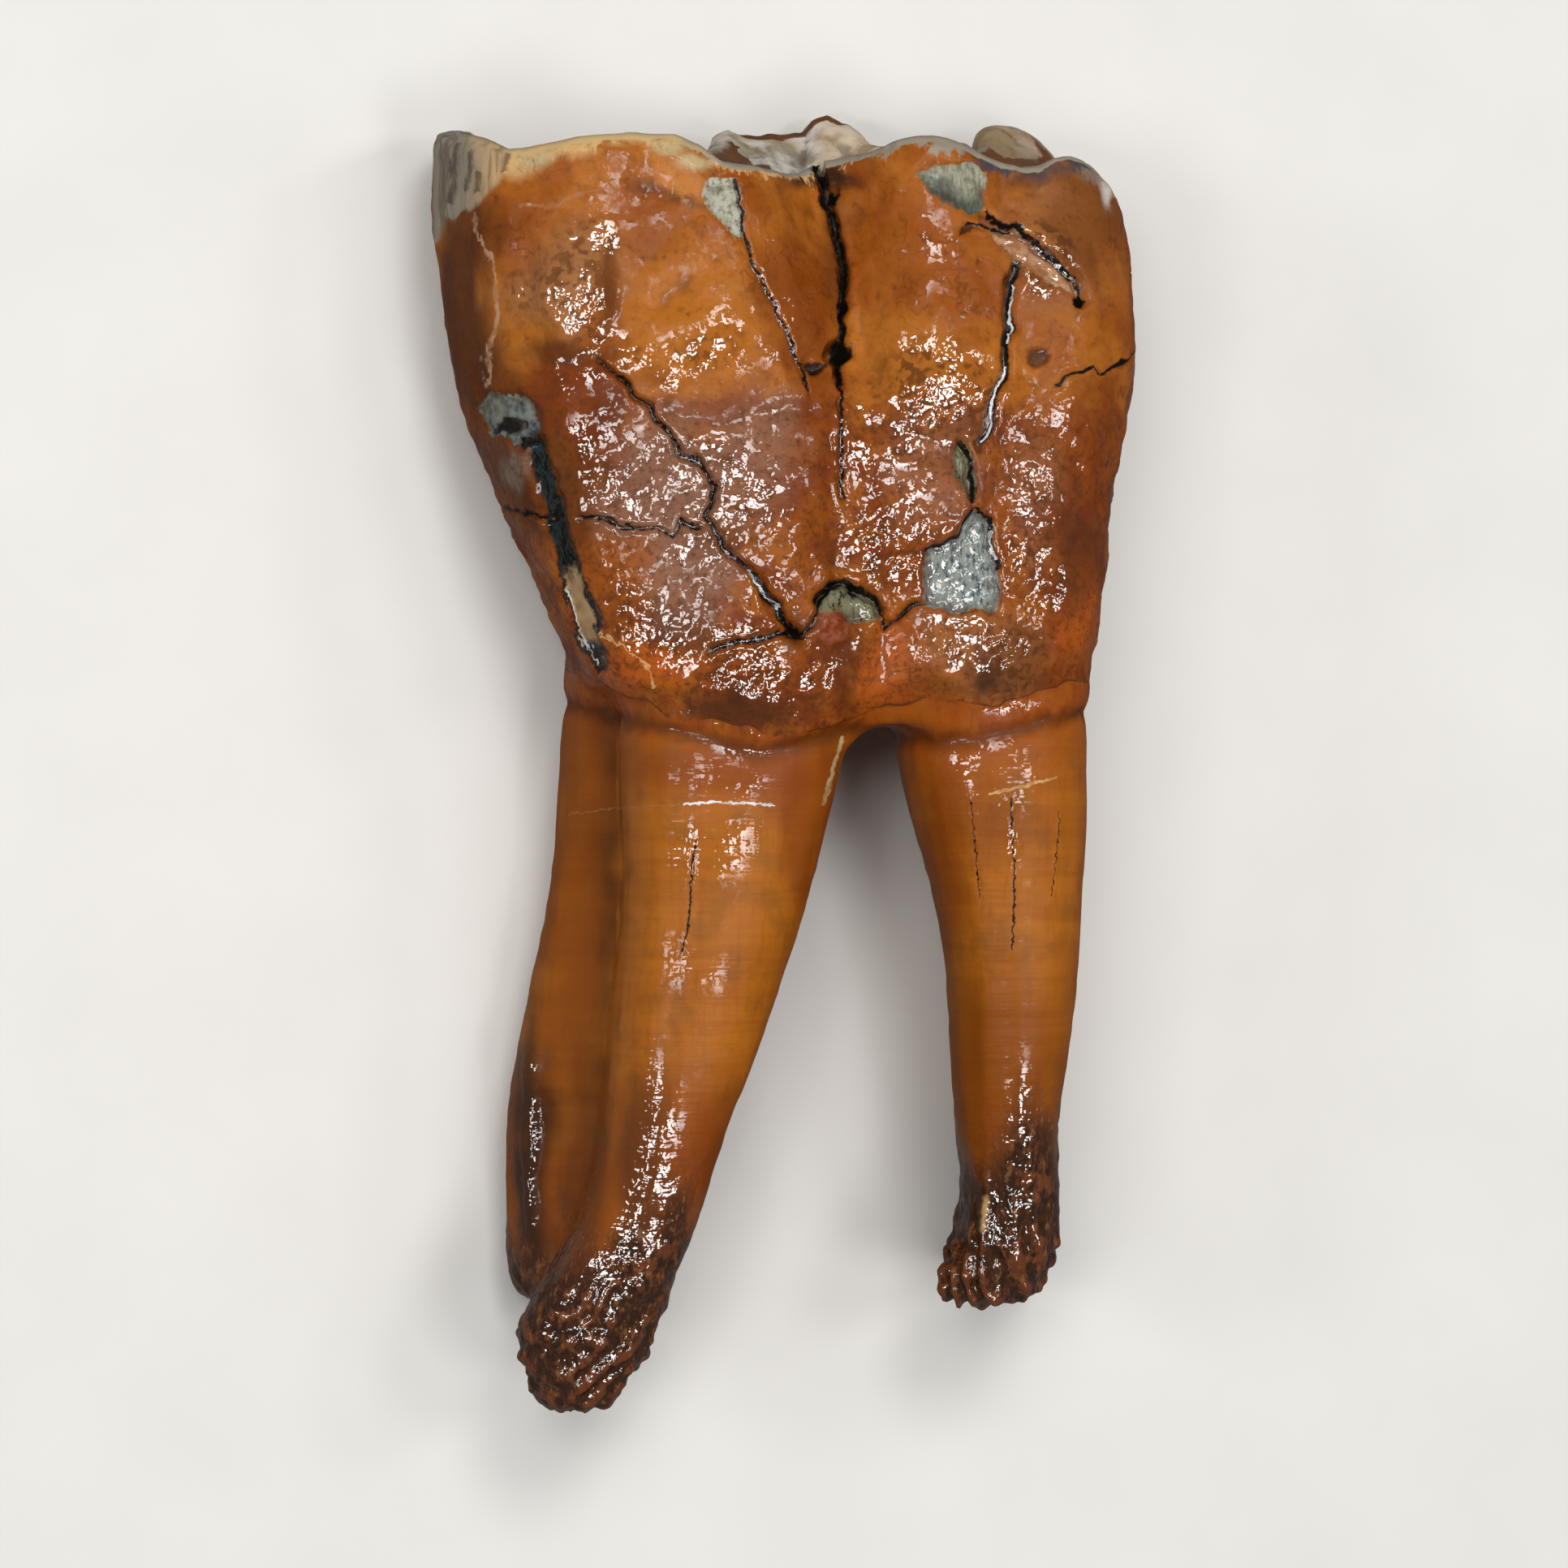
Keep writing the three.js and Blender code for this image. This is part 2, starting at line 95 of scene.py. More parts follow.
# %% Join copies of the solids
FINE = 0.27                    # spacing of the net that is carved
COARSE = 0.6                   # spacing of the net that is smoothed
SWELL = 0.22                   # each side of a cut grows by this much
SAME_PLACE = 0.01              # corners closer than this are one corner
SMOOTHINGS = 12                # on the coarse net
LAST_SMOOTHINGS = 4            # on the fine net


def modify(piece, kind, **settings):
    """Adds one modifier, sets it and applies it."""
    change = piece.modifiers.new(kind.lower(), kind)
    for name, value in settings.items():
        setattr(change, name, value)
    bpy.ops.object.modifier_apply(modifier=change.name)


bpy.ops.object.select_all(action="DESELECT")
for name in sorted(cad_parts):
    copy = bpy.data.objects.new("tooth_skin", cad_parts[name].data.copy())
    bpy.context.scene.collection.objects.link(copy)
    copy.select_set(True)
    bpy.context.view_layer.objects.active = copy
bpy.ops.object.join()
skin = bpy.context.view_layer.objects.active
skin.name = skin.data.name = "tooth_skin"
skin.data.materials.clear()
bpy.ops.object.mode_set(mode="EDIT")
bpy.ops.mesh.select_all(action="SELECT")
bpy.ops.mesh.remove_doubles(threshold=SAME_PLACE * MM)
bpy.ops.mesh.normals_make_consistent(inside=False)
bpy.ops.object.mode_set(mode="OBJECT")
print("joined:", len(skin.data.vertices), "corners")

# %% Close the cuts and smooth
modify(skin, "DISPLACE", strength=SWELL * MM, mid_level=0.0)
modify(skin, "REMESH", mode="VOXEL", voxel_size=COARSE * MM)
modify(skin, "DISPLACE", strength=-SWELL * MM, mid_level=0.0)
modify(skin, "SMOOTH", factor=0.5, iterations=SMOOTHINGS)
modify(skin, "REMESH", mode="VOXEL", voxel_size=FINE * MM)
modify(skin, "SMOOTH", factor=0.5, iterations=LAST_SMOOTHINGS)
print("fine net:", len(skin.data.vertices), "corners")

# %% [markdown]
# ## Where the marks are
# A crack is a line of points down or across the sheet. The same points carve the groove in the net
# and, later, stain it, so the two always meet. A chip is given by its left and right edges, read
# from the top down. Widths are in steps and depths in millimetres.

# %% Cracks: the way each runs, its half width, its depth and its points
CRACKS = {
    "long_crack": ("down", 3.5, 0.8, [(735, 444), (760, 462), (775, 478), (802, 500), (812, 525),
        (835, 552), (862, 572), (884, 600), (872, 636), (890, 674), (924, 702), (945, 730), (964, 760),
        (985, 784)]),
    "side_crack": ("across", 3.0, 0.45, [(715, 635), (740, 637), (765, 647), (795, 653), (815, 657),
        (827, 661), (841, 642), (866, 650)]),
    "groove_crack": ("down", 6.2, 1.0, [(1006, 205), (1012, 232), (1026, 262), (1030, 300), (1038, 340),
        (1041, 380), (1038, 410), (1030, 440), (1036, 476)]),
    "groove_tail": ("down", 2.6, 0.35, [(1036, 476), (1040, 510), (1034, 560), (1036, 612)]),
    "crack_mouth": ("down", 8.0, 0.6, [(936, 718), (948, 742), (966, 763), (988, 788)]),
    "front_crack": ("down", 6.5, 0.8, [(1254, 322), (1248, 345), (1245, 375), (1247, 400), (1240, 425),
        (1238, 460), (1228, 490), (1216, 530), (1209, 550)]),
    "chip_crack": ("down", 2.5, 0.4, [(906, 218), (912, 285), (938, 340), (956, 375), (972, 425),
        (985, 455), (996, 480)]),
    "lip_crack": ("across", 7.0, 0.8, [(1213, 262), (1226, 275), (1250, 278), (1268, 292), (1288, 312),
        (1310, 330), (1324, 345), (1334, 368)]),
    "low_crack": ("across", 4.0, 0.6, [(878, 806), (900, 793), (930, 788), (958, 776), (985, 782),
        (1000, 770), (1008, 744), (1024, 727), (1042, 721), (1064, 733), (1080, 750), (1091, 778),
        (1106, 760), (1124, 749), (1138, 748)]),
    "arch": ("across", 6.0, 0.5, [(1002, 744), (1012, 732), (1024, 723), (1038, 721), (1050, 731),
        (1062, 728), (1074, 738), (1084, 754)]),
    "patch_side": ("down", 4.0, 0.3, [(1206, 622), (1217, 640), (1222, 670), (1226, 706)]),
    "patch_top": ("across", 3.4, 0.3, [(1136, 680), (1158, 673), (1178, 660), (1191, 640), (1204, 624)]),
    "slot_side": ("down", 4.5, 0.4, [(1184, 544), (1195, 562), (1192, 590), (1202, 618)]),
    "edge_crack": ("across", 2.6, 0.3, [(618, 620), (640, 633), (660, 634), (684, 641)]),
    "root_crack": ("down", 1.5, 0.16, [(857, 1035), (853, 1075), (850, 1110), (847, 1145), (839, 1178)]),
    "front_root_crack": ("down", 1.5, 0.14, [(1244, 984), (1247, 1030), (1250, 1080), (1247, 1170)]),
    "front_root_line": ("down", 0.8, 0.06, [(1196, 985), (1202, 1040), (1206, 1105)]),
    "front_root_edge_line": ("down", 0.6, 0.05, [(1304, 1000), (1302, 1050), (1296, 1105)]),
    "green_line": ("across", 2.4, 0.2, [(1300, 476), (1322, 458), (1346, 450), (1362, 460), (1380, 445),
        (1398, 430)]),
    "hook_line": ("across", 2.6, 0.25, [(1184, 292), (1190, 278), (1215, 282), (1242, 288)]),
}
print("cracks:", len(CRACKS))

# %% Chips: depth, softness, left edge and right edge
CHIPS = {
    "grey_patch": (0.65, 3.0, [(1203, 628), (1190, 640), (1178, 662), (1160, 674), (1139, 678),
        (1137, 700), (1138, 735), (1142, 752)], [(1207, 628), (1221, 642), (1224, 670), (1226, 700),
        (1231, 725), (1229, 752)]),
    "grey_slot": (0.6, 3.0, [(1186, 544), (1174, 556), (1176, 580), (1188, 602), (1198, 616)], [
        (1190, 544), (1198, 556), (1199, 585), (1203, 602), (1204, 616)]),
    "rim_chip": (0.35, 4.0, [(898, 216), (868, 226), (868, 240), (880, 262), (898, 286), (908, 296)], [
        (904, 216), (909, 230), (912, 250), (913, 270), (914, 286), (912, 296)]),
    "dark_chip": (0.3, 4.0, [(1150, 204), (1130, 214), (1146, 232), (1166, 250), (1192, 264)], [
        (1200, 204), (1214, 216), (1216, 232), (1210, 250), (1206, 264)]),
    "crescent": (0.5, 4.0, [(1034, 720), (1014, 732), (1005, 744), (1004, 752), (1040, 766)], [(1044, 720),
        (1068, 732), (1080, 744), (1084, 756), (1080, 766)]),
    "side_hole": (0.55, 7.0, [(604, 484), (590, 498), (594, 520), (612, 536), (632, 548)], [(640, 484),
        (660, 500), (668, 520), (664, 536), (654, 548)]),
    "side_slit": (0.6, 5.0, [(642, 540), (660, 590), (675, 640), (687, 690), (695, 720), (704, 760),
        (717, 800), (736, 828)], [(668, 540), (686, 590), (700, 640), (712, 690), (726, 720), (738, 760),
        (746, 800), (748, 828)]),
    "lip": (0.25, 4.0, [(1212, 280), (1222, 292), (1246, 316), (1276, 340), (1312, 362)], [(1250, 280),
        (1270, 296), (1294, 316), (1318, 340), (1330, 362)]),
}
# A pit is a place, a half width, a half height, a depth, and how black it is.
PITS = [
    (1032, 436, 15, 24, 1.5, 1.0), (1004, 454, 16, 9, 0.5, 0.9), (1279, 440, 19, 15, 0.3, 0.6),
    (1330, 370, 9, 8, 0.8, 1.0), (629, 527, 17, 13, 0.6, 0.95), (1030, 246, 9, 10, 0.5, 1.0),
    (1041, 380, 10, 14, 0.6, 1.0), (1191, 286, 10, 8, 0.2, 0.6),
]
print("chips:", len(CHIPS), "pits:", len(PITS))

# %% [markdown]
# Under the cracks the cheek side has broad swells and soft troughs, and its worn upper edge dips
# and climbs. They are set down as ovals and lines too, because a drawn list is easy to change.

# %% Swells: place, half width, half height and how far each rises
KNOB = (1026, 770, 25, 27)     # a small lump left standing in the crescent chip
SWELLS = [
    (705, 358, 66, 84, 0.75), (850, 430, 110, 60, 0.35), (1112, 370, 56, 130, 0.4),
    (1150, 490, 84, 48, 0.5), (1290, 330, 60, 50, 0.3), (1185, 560, 60, 40, -0.25),
    (1110, 650, 50, 60, 0.35), (1285, 620, 50, 90, 0.35), (940, 840, 64, 50, 0.4),
    (1210, 812, 90, 50, 0.3), (1098, 800, 34, 60, -0.35), (975, 640, 40, 60, 0.3),
    (820, 600, 80, 70, -0.25), (760, 800, 50, 60, 0.25), (1010, 440, 24, 40, -0.4),
    (655, 1400, 14, 150, 0.6),
]
# A trough is a half width, a depth and its points.
TROUGHS = [
    (14, 0.22, [(742, 296), (760, 330), (758, 380), (738, 420), (700, 440)]),
    (14, 0.22, [(770, 498), (860, 514), (930, 520), (992, 505)]),
    (20, 0.35, [(930, 296), (958, 380), (990, 452)]),
    (18, 0.3, [(1036, 500), (1030, 600), (1034, 700)]),
    (16, 0.22, [(1060, 515), (1120, 548), (1180, 560), (1230, 545)]),
    (22, 0.22, [(640, 300), (652, 420), (668, 520), (690, 640), (712, 740), (742, 840)]),
]
# How far the top edge is lowered along the sheet, in steps, on the cheek and the tongue side.
TOP_NEAR = [
    (530, 6), (550, -7), (570, -10), (600, 1), (628, 14), (645, 15), (670, 11), (705, 6), (760, 2),
    (800, -3), (830, -6), (860, 0), (885, 10), (900, 8), (930, 2), (954, -5), (1000, -14), (1030, -8),
    (1080, -4), (1150, -6), (1188, 0), (1204, 9), (1232, 18), (1256, 24), (1280, 23), (1300, 12),
    (1318, 3), (1340, 0),
]
TOP_FAR = [
    (540, 0), (580, 4), (612, 28), (740, 36), (800, 20), (850, 0), (880, -16), (950, -16), (975, -2),
    (990, 8), (1005, 0), (1020, -3), (1035, 6), (1060, 8), (1085, 4), (1110, 0),
]
DOME = ([(480, 120), (480, 300)], [
    (630, 120), (628, 176), (624, 200), (616, 226), (602, 242), (584, 254), (556, 268), (540, 300)])
print("swells:", len(SWELLS), "troughs:", len(TROUGHS))

# %% Lower edge of the cement, and the crease under it
CEMENT_EDGE = [
    (560, 800), (700, 826), (757, 847), (790, 860), (840, 877), (880, 881), (910, 892), (940, 905),
    (980, 907), (1020, 893), (1050, 878), (1090, 862), (1130, 860), (1170, 868), (1220, 873), (1260, 863),
    (1315, 843), (1400, 830),
]
CREASE = [
    (560, 850), (700, 868), (757, 884), (820, 896), (880, 912), (935, 928), (990, 918), (1040, 902),
    (1090, 908), (1160, 916), (1215, 912), (1270, 894), (1330, 880), (1400, 870),
]
print("layer edges:", len(CEMENT_EDGE), "and", len(CREASE), "points")

# %% [markdown]
# ## Carving the net
# Fossil cement is lumpy at every size. `lumps` is smooth random noise in space, made from a fixed
# recipe of whole numbers so that each run gives the same tooth. Carving moves every corner of the
# net along its own normal by the sum of all the marks, which is how a sculptor's brush works too.

# %% Noise and soft steps
STRIDES = np.array((73856093, 19349663, 83492791))     # these whole numbers scatter the cells
SEED_STRIDE, SEED_SHIFT = 2654435, 7.31
FIRST_STIR, SECOND_STIR, KEEP_BITS = 1274126177, 2246822519, 0x7FFFFFFF


def lumps(points, size, seed=0):
    """Smooth noise from -1 to 1, with lumps about `size` millimetres across (or one per axis)."""
    place = points / np.asarray(size) + seed * SEED_SHIFT
    cell = np.floor(place).astype(np.int64)
    part = place - cell
    part = part * part * (3 - 2 * part)
    total = np.zeros(len(points))
    for corner in range(8):
        step = np.array((corner & 1, corner >> 1 & 1, corner >> 2 & 1))
        key = (cell + step) @ STRIDES + seed * SEED_STRIDE
        key = (key ^ (key >> 13)) * FIRST_STIR & KEEP_BITS
        key = (key ^ (key >> 16)) * SECOND_STIR & KEEP_BITS
        share = np.where(step, part, 1 - part).prod(axis=1)
        total += share * ((key ^ (key >> 15)) % 65536 / 32767.5 - 1)
    return total


def layered(points, size, layers, seed=0):
    """Lumps upon lumps, each layer half the size and half the height of the last."""
    return sum(lumps(points, np.asarray(size) / 2 ** i, seed + i) / 2 ** i for i in range(layers))


def rise(value, start, end):
    """0 before start, 1 after end, and a smooth step between."""
    share = np.clip((value - start) / (end - start), 0, 1)
    return share * share * (3 - 2 * share)


def line_distance(across, down, points):
    """Distance on the sheet from each corner to a line of points."""
    best = np.full(len(across), np.inf)
    for (x0, y0), (x1, y1) in zip(points, points[1:]):
        run, drop = x1 - x0, y1 - y0
        share = ((across - x0) * run + (down - y0) * drop) / (run * run + drop * drop)
        share = np.clip(share, 0, 1)
        best = np.minimum(best, np.hypot(across - x0 - share * run, down - y0 - share * drop))
    return best


def follow(points, value, way):
    """Where a line of points is: steps across for a value down the sheet, or the other way."""
    along = 1 if way == "down" else 0
    return np.interp(value, [p[along] for p in points], [p[1 - along] for p in points])


def inside_chip(across, down, left, right, soft):
    """1 well inside a chip and 0 outside, with an edge `soft` steps wide."""
    inward = np.minimum(across - follow(left, down, "down"), follow(right, down, "down") - across)
    inward = np.minimum(inward, np.minimum(down - left[0][1], left[-1][1] - down))
    return rise(inward, -soft / 2, soft / 2)


def corners_of(piece):
    """The piece's corners and normals as arrays, corners in millimetres."""
    mesh = piece.data
    points, normals = (np.empty(len(mesh.vertices) * 3) for _ in range(2))
    mesh.vertices.foreach_get("co", points)
    mesh.vertex_normals.foreach_get("vector", normals)
    return points.reshape(-1, 3) / MM, normals.reshape(-1, 3)


def tell(name, values):
    """Prints how far a layer of heights reaches."""
    print(name, "from", values.min().round(2), "to", values.max().round(2), "mm")


points, normals = corners_of(skin)
tell("tooth", points[:, 1])

# %% What the bench camera sees
CELL = 8                       # steps; the nearest corner is noted for each cell of the sheet
across, down, near = on_sheet(points)
cells = (np.floor(across / CELL).astype(int), np.floor(down / CELL).astype(int))
nearest = np.full((SHEET // CELL + 1, SHEET // CELL + 1), -np.inf)
np.maximum.at(nearest, cells, near)
covered = nearest[cells] - near
ray = (AIM + TOWARDS * STAND_OFF) - points
ray /= np.linalg.norm(ray, axis=1)[:, None]
facing = (normals * ray).sum(axis=1)
seen = rise(facing, 0.0, 0.2) * (1 - rise(covered, 2.5, 4.0))
print("seen from the bench:", round(float(seen.mean()), 3), "of the corners")

# %% [markdown]
# ## Carving, layer by layer
# From the top down the tooth shows a worn chewing surface, lumpy cement, a smooth swollen band
# below the cement's ragged edge, a crease, and two roots with growth rings that end in torn tips.
# Each layer below is a height in millimetres for every corner; they are added at the end.

# %% Zones
WOBBLE = 5.0                   # steps a drawn line strays, so that no crack is ruled
ROOT_TOPS = (880, 930)         # steps down the sheet; lines stray less on the smooth roots
wobble = WOBBLE * (1 - 0.7 * rise(down, *ROOT_TOPS)) * (0.3 + 0.7 * seen)
stray_across = wobble * (lumps(points, 1.5, seed=71) + 0.6 * lumps(points, 0.75, seed=72))
stray_down = wobble * (lumps(points, 1.5, seed=73) + 0.6 * lumps(points, 0.75, seed=74))
across, down = across + stray_across, down + stray_down
ragged = 9 * layered(points, 3.2, 3, seed=3)
above_edge = (follow(CEMENT_EDGE, across, "across") + ragged - down) / STEPS_PER_MM
above_crease = (follow(CREASE, across, "across") + 3 * lumps(points, 5, seed=4) - down)
above_crease = above_crease / STEPS_PER_MM
crown = rise(above_crease, -0.3, 0.6)
FRONT_ROOT = (2.0, 6.0)        # millimetres along x; the front root begins here
front_root = rise(points[:, 0], *FRONT_ROOT)
TIP_START = 1600               # steps down the sheet; the front root is torn 90 steps higher
tip_start = TIP_START - 90 * front_root
torn = rise(down + 30 * layered(points, 4, 2, seed=8), tip_start - 50, tip_start + 50)
EARLY_SIDE = (1215, 1262)      # steps across; the front root is burnt higher up from here on
early = 60 * rise(across, *EARLY_SIDE) - 30 * front_root
burnt = rise(down + early + 60 * layered(points, (4, 9, 4), 3, seed=9), tip_start - 190, tip_start)
print("crown holds", round(float(crown.mean()), 2), "and torn tips", round(float(torn.mean()), 2))

# %% [markdown]
# The chewing surface is what faces up at the crown's end. Enamel stands in a ring along its edge,
# so each corner is given its distance from that edge, found through a tree of sorted points.

# %% Chewing surface
TABLE_LOW = 34.0               # nothing of the chewing surface lies lower than this
FAR_OFF = 20.0                 # stands for every corner that is nowhere near the rim
THIN_OUT = 3                   # every third corner says well enough where a part is


def distance_to(part, wanted, unset):
    """Millimetres from each wanted corner to the nearest corner of a part of the net."""
    part = np.flatnonzero(part)[::THIN_OUT]
    tree = KDTree(len(part))
    for number, corner in enumerate(part):
        tree.insert(Vector(points[corner]), number)
    tree.balance()
    result = np.full(len(points), unset)
    for corner in np.flatnonzero(wanted):
        result[corner] = tree.find(Vector(points[corner]))[2]
    return result


upward = normals[:, 1]
flat_top = rise(upward, 0.45, 0.75) * rise(points[:, 1], TABLE_LOW, TABLE_LOW + 2)
up_there = points[:, 1] > TABLE_LOW - 4
on_top = flat_top > 0.5
from_edge = distance_to((upward < 0.35) & up_there, flat_top > 0.01, 0.0)
to_rim = distance_to(on_top, ~on_top & up_there, FAR_OFF)
to_rim[on_top] = 0
print("chewing surface:", int(on_top.sum()), "corners, widest place",
      round(float(from_edge.max()), 1), "mm from an edge")

# %% Layers of height
ROUGH_FROM = (500, 640)        # steps down; the cement is rougher from here on
DEEP_FLUTES = (1150, 1500)     # steps down; the roots' flutes grow deeper here
cement_face = crown * (1 - flat_top) * (
    0.45 * rise(above_edge, -0.1, 0.3) + 0.55 * rise(above_edge, 0.1, 3.5))
rough_low = rise(down, *ROUGH_FROM)
cement = (0.26 + 0.26 * lumps(points, (6, 8, 6), seed=11) + 0.2 * layered(points, 2.6, 2, seed=13)
          + (0.055 + 0.09 * rough_low) * layered(points, 1.1, 2, seed=16)) * cement_face
bulge = 0.12 * rise(above_crease, 0, 1.2) * (1 - rise(above_edge, -0.6, 0.6)) * crown
crease = -0.3 * np.exp(-(above_crease / 0.9) ** 2)
below = 1 - crown
rings = below * (0.05 * lumps(points, (30, 1.1, 30), seed=31)
                 + 0.07 * lumps(points, (40, 4, 40), seed=32))
flutes = below * (0.06 + 0.1 * rise(down, *DEEP_FLUTES)) * lumps(points, (2.0, 34, 2.0), seed=34)
tell("cement", cement)

# %% [markdown]
# The roots broke off along their own layers: the back root in slanting ledges, the front root in
# upright fingers. A folded ramp gives the ledges and a sine the fingers, both bent by noise.

# %% Torn tips
LEDGE = 1.9                    # millimetres from one ledge or finger to the next
slant = (points[:, 0] - points[:, 1]) / math.sqrt(2) + 1.1 * layered(points, 4, 2, seed=41)
ledges = np.abs(2 * (slant / LEDGE % 1) - 1) - 0.5
upright = points[:, 0] * 0.9 + points[:, 2] * 0.6 + 1.3 * layered(points, (4, 8, 4), 2, seed=43)
fingers = np.sin(upright * 2 * math.pi / LEDGE) * 0.5
tips = torn * (0.42 * ledges * (1 - front_root) + 0.6 * fingers * front_root
               + 0.36 * layered(points, 1.2, 2, seed=45))
tips += 0.16 * burnt * layered(points, 1.2, 2, seed=48)
tell("tips", tips)

# %% Chewing surface heights
ring = rise(from_edge, 0.3, 0.7) * (1 - rise(from_edge, 1.5, 2.1))
table = flat_top * (0.3 * ring - 0.65 * rise(from_edge, 1.7, 3.2)
                    + 0.12 * layered(points, 2.5, 3, seed=51))
tell("table", table)

# %% Marks on the cheek side
def oval_distance(across, down, x, y, half_wide, half_high):
    """0 in the middle of an oval on the sheet and 1 on its edge."""
    return np.hypot((across - x) / half_wide, (down - y) / half_high)


marks = np.zeros(len(points))
for _, half, depth, line_points in CRACKS.values():
    away = line_distance(across, down, line_points) / half
    marks -= depth * (1 - rise(away, 0.3, 1.5))
    marks += 0.1 * rise(away, 0.8, 1.8) * (1 - rise(away, 1.8, 4.0))
for depth, soft, left, right in CHIPS.values():
    marks -= depth * inside_chip(across, down, left, right, soft * 2)
for *oval, depth, _ in PITS:
    marks -= depth * (1 - rise(oval_distance(across, down, *oval), 0.5, 1.1))
for *oval, height in SWELLS:
    away = oval_distance(across, down, *oval) + 0.25 * lumps(points, 3, seed=66)
    marks += height * (1 - rise(away, 0.3, 1.1))
for half, depth, line_points in TROUGHS:
    marks -= depth * (1 - rise(line_distance(across, down, line_points) / half, 0.2, 1.5))
marks += 0.5 * (1 - rise(oval_distance(across, down, *KNOB), 0.3, 1.15))
marks *= seen
tell("marks", marks)

# %% Veins on the sides that lie away from the camera
veins = layered(points, (9, 14, 9), 2, seed=61)
vein_zone = rise(lumps(points, 11, seed=64), 0.0, 0.2) * (1 - seen) * crown * (1 - flat_top)
vein_cuts = -0.5 * vein_zone * (1 - rise(np.abs(veins), 0.01, 0.035))
tell("veins", vein_cuts)

# %% Move the corners
CHEEK_HALF = (12, 17)          # millimetres above the bench
TOP_PART = (38, 48)            # millimetres along y, where the worn edge lies
height = cement + bulge + crease + rings + flutes + tips + table + marks + vein_cuts
carved = points + normals * height[:, None]
near_rim = rise(points[:, 2], *CHEEK_HALF)
sunk = (follow(TOP_NEAR, across, "across") * near_rim
        + follow(TOP_FAR, across, "across") * (1 - near_rim)) / STEPS_PER_MM
carved[:, 1] -= sunk * rise(points[:, 1], *TOP_PART)
carved[:, 2] = np.maximum(carved[:, 2], 0.0)
skin.data.vertices.foreach_set("co", (carved * MM).ravel())
skin.data.update()
tell("carving", height)

# %% [markdown]
# ## What the carving leaves for the finish
# The finish has to know where the cement ends or how far a point is from the chewing edge. These
# numbers are kept on the corners as attributes, and the last thinning of the net blends them.
# The finish darkens the hollows, so the net is also asked how deep each corner lies among its neighbours.

# %% Keep the zones on the net
def keep(piece, name, values):
    """Stores one number per corner under a name the finish can read."""
    piece.data.attributes.new(name, "FLOAT", "POINT").data.foreach_set("value", values)


for name, values in dict(seen=seen, above_edge=above_edge, above_crease=above_crease, burnt=burnt,
                         flat_top=flat_top, from_edge=from_edge, veins=veins, vein_zone=vein_zone,
                         to_rim=to_rim, stray_across=stray_across, stray_down=stray_down).items():
    keep(skin, name, values)
TRIANGLES = 190000
modify(skin, "DECIMATE", ratio=TRIANGLES / (2 * len(skin.data.polygons)))
bpy.ops.object.shade_smooth()
print("skin:", len(skin.data.polygons), "faces,", len(skin.data.vertices), "corners")

# %% Hollows
points, normals = corners_of(skin)
pairs = np.empty(len(skin.data.edges) * 2, dtype=np.int64)
skin.data.edges.foreach_get("vertices", pairs)
one, other = pairs[::2], pairs[1::2]
count = np.bincount(pairs, minlength=len(points))


def neighbours(values):
    """The mean of each corner's neighbours."""
    total = np.bincount(one, values[other], len(values))
    return (total + np.bincount(other, values[one], len(values))) / count


around = np.stack([neighbours(points[:, axis]) for axis in range(3)], axis=1)
hollow = ((around - points) * normals).sum(axis=1)
for _ in range(3):
    hollow = (hollow + neighbours(hollow)) / 2
keep(skin, "hollow", hollow)
print("hollows reach", hollow.max().round(3), "mm")

# %% Lay the net on the sheet
def kept(piece, name):
    """The numbers kept on a piece under a name."""
    values = np.empty(len(piece.data.vertices))
    piece.data.attributes[name].data.foreach_get("value", values)
    return values


across, down, near = on_sheet(points)
across, down = across + kept(skin, "stray_across"), down + kept(skin, "stray_down")
for name in ("stray_across", "stray_down"):
    skin.data.attributes.remove(skin.data.attributes[name])
corner_of_loop = np.empty(len(skin.data.loops), dtype=np.int64)
skin.data.loops.foreach_get("vertex_index", corner_of_loop)
laid = np.stack((across / SHEET, 1 - down / SHEET), axis=1)[corner_of_loop]
skin.data.uv_layers.new(name="sheet").data.foreach_set("uv", laid.ravel())
print("sheet map from", laid.min(axis=0).round(2), "to", laid.max(axis=0).round(2))

# %% [markdown]
# ## Stains, painted shade and wet places
# Big soft stains, and the shade and highlights painted with them, cost the renderer much less as
# numbers on the corners than as nodes. Each list is laid down oval over oval, and the net keeps the
# colour so far and how much of it covers.

# %% Colours
def shade(*screen):
    """A colour from its red, green and blue screen values, 0 to 255."""
    values = [value / 255 for value in screen]
    return (*(value / 12.92 if value <= 0.04045 else ((value + 0.055) / 1.055) ** 2.4
              for value in values), 1.0)


OCHRE = shade(164, 96, 28)
ORANGE = shade(140, 72, 16)
RUST = shade(110, 46, 9)
UMBER = shade(62, 32, 14)
DUSK = shade(78, 38, 9)
TAN = shade(150, 100, 62)
PINK = shade(128, 90, 70)
GLOW = shade(166, 78, 18)
BAND = shade(138, 64, 12)
ROOT = shade(160, 92, 22)
ROOT_DARK = shade(120, 60, 8)
ROOT_RED = shade(116, 50, 12)
BURNT = shade(34, 22, 15)
TIP_RED = shade(104, 54, 26)
TIP_TAN = shade(126, 92, 56)
BLUSH = shade(142, 80, 58)
CREAM = shade(178, 158, 116)
KHAKI = shade(112, 98, 70)
IVORY = shade(196, 158, 106)
CHALK = shade(212, 207, 198)
HORN = shade(142, 132, 116)
LIP = shade(176, 138, 108)
OLIVE = shade(116, 74, 22)
PEACH = shade(188, 120, 56)
GREY = shade(128, 134, 128)
SLATE = shade(58, 64, 70)
GREENISH = shade(112, 110, 84)
PALE = shade(166, 164, 148)
CRACK = shade(12, 9, 7)
TEAL = shade(30, 44, 44)
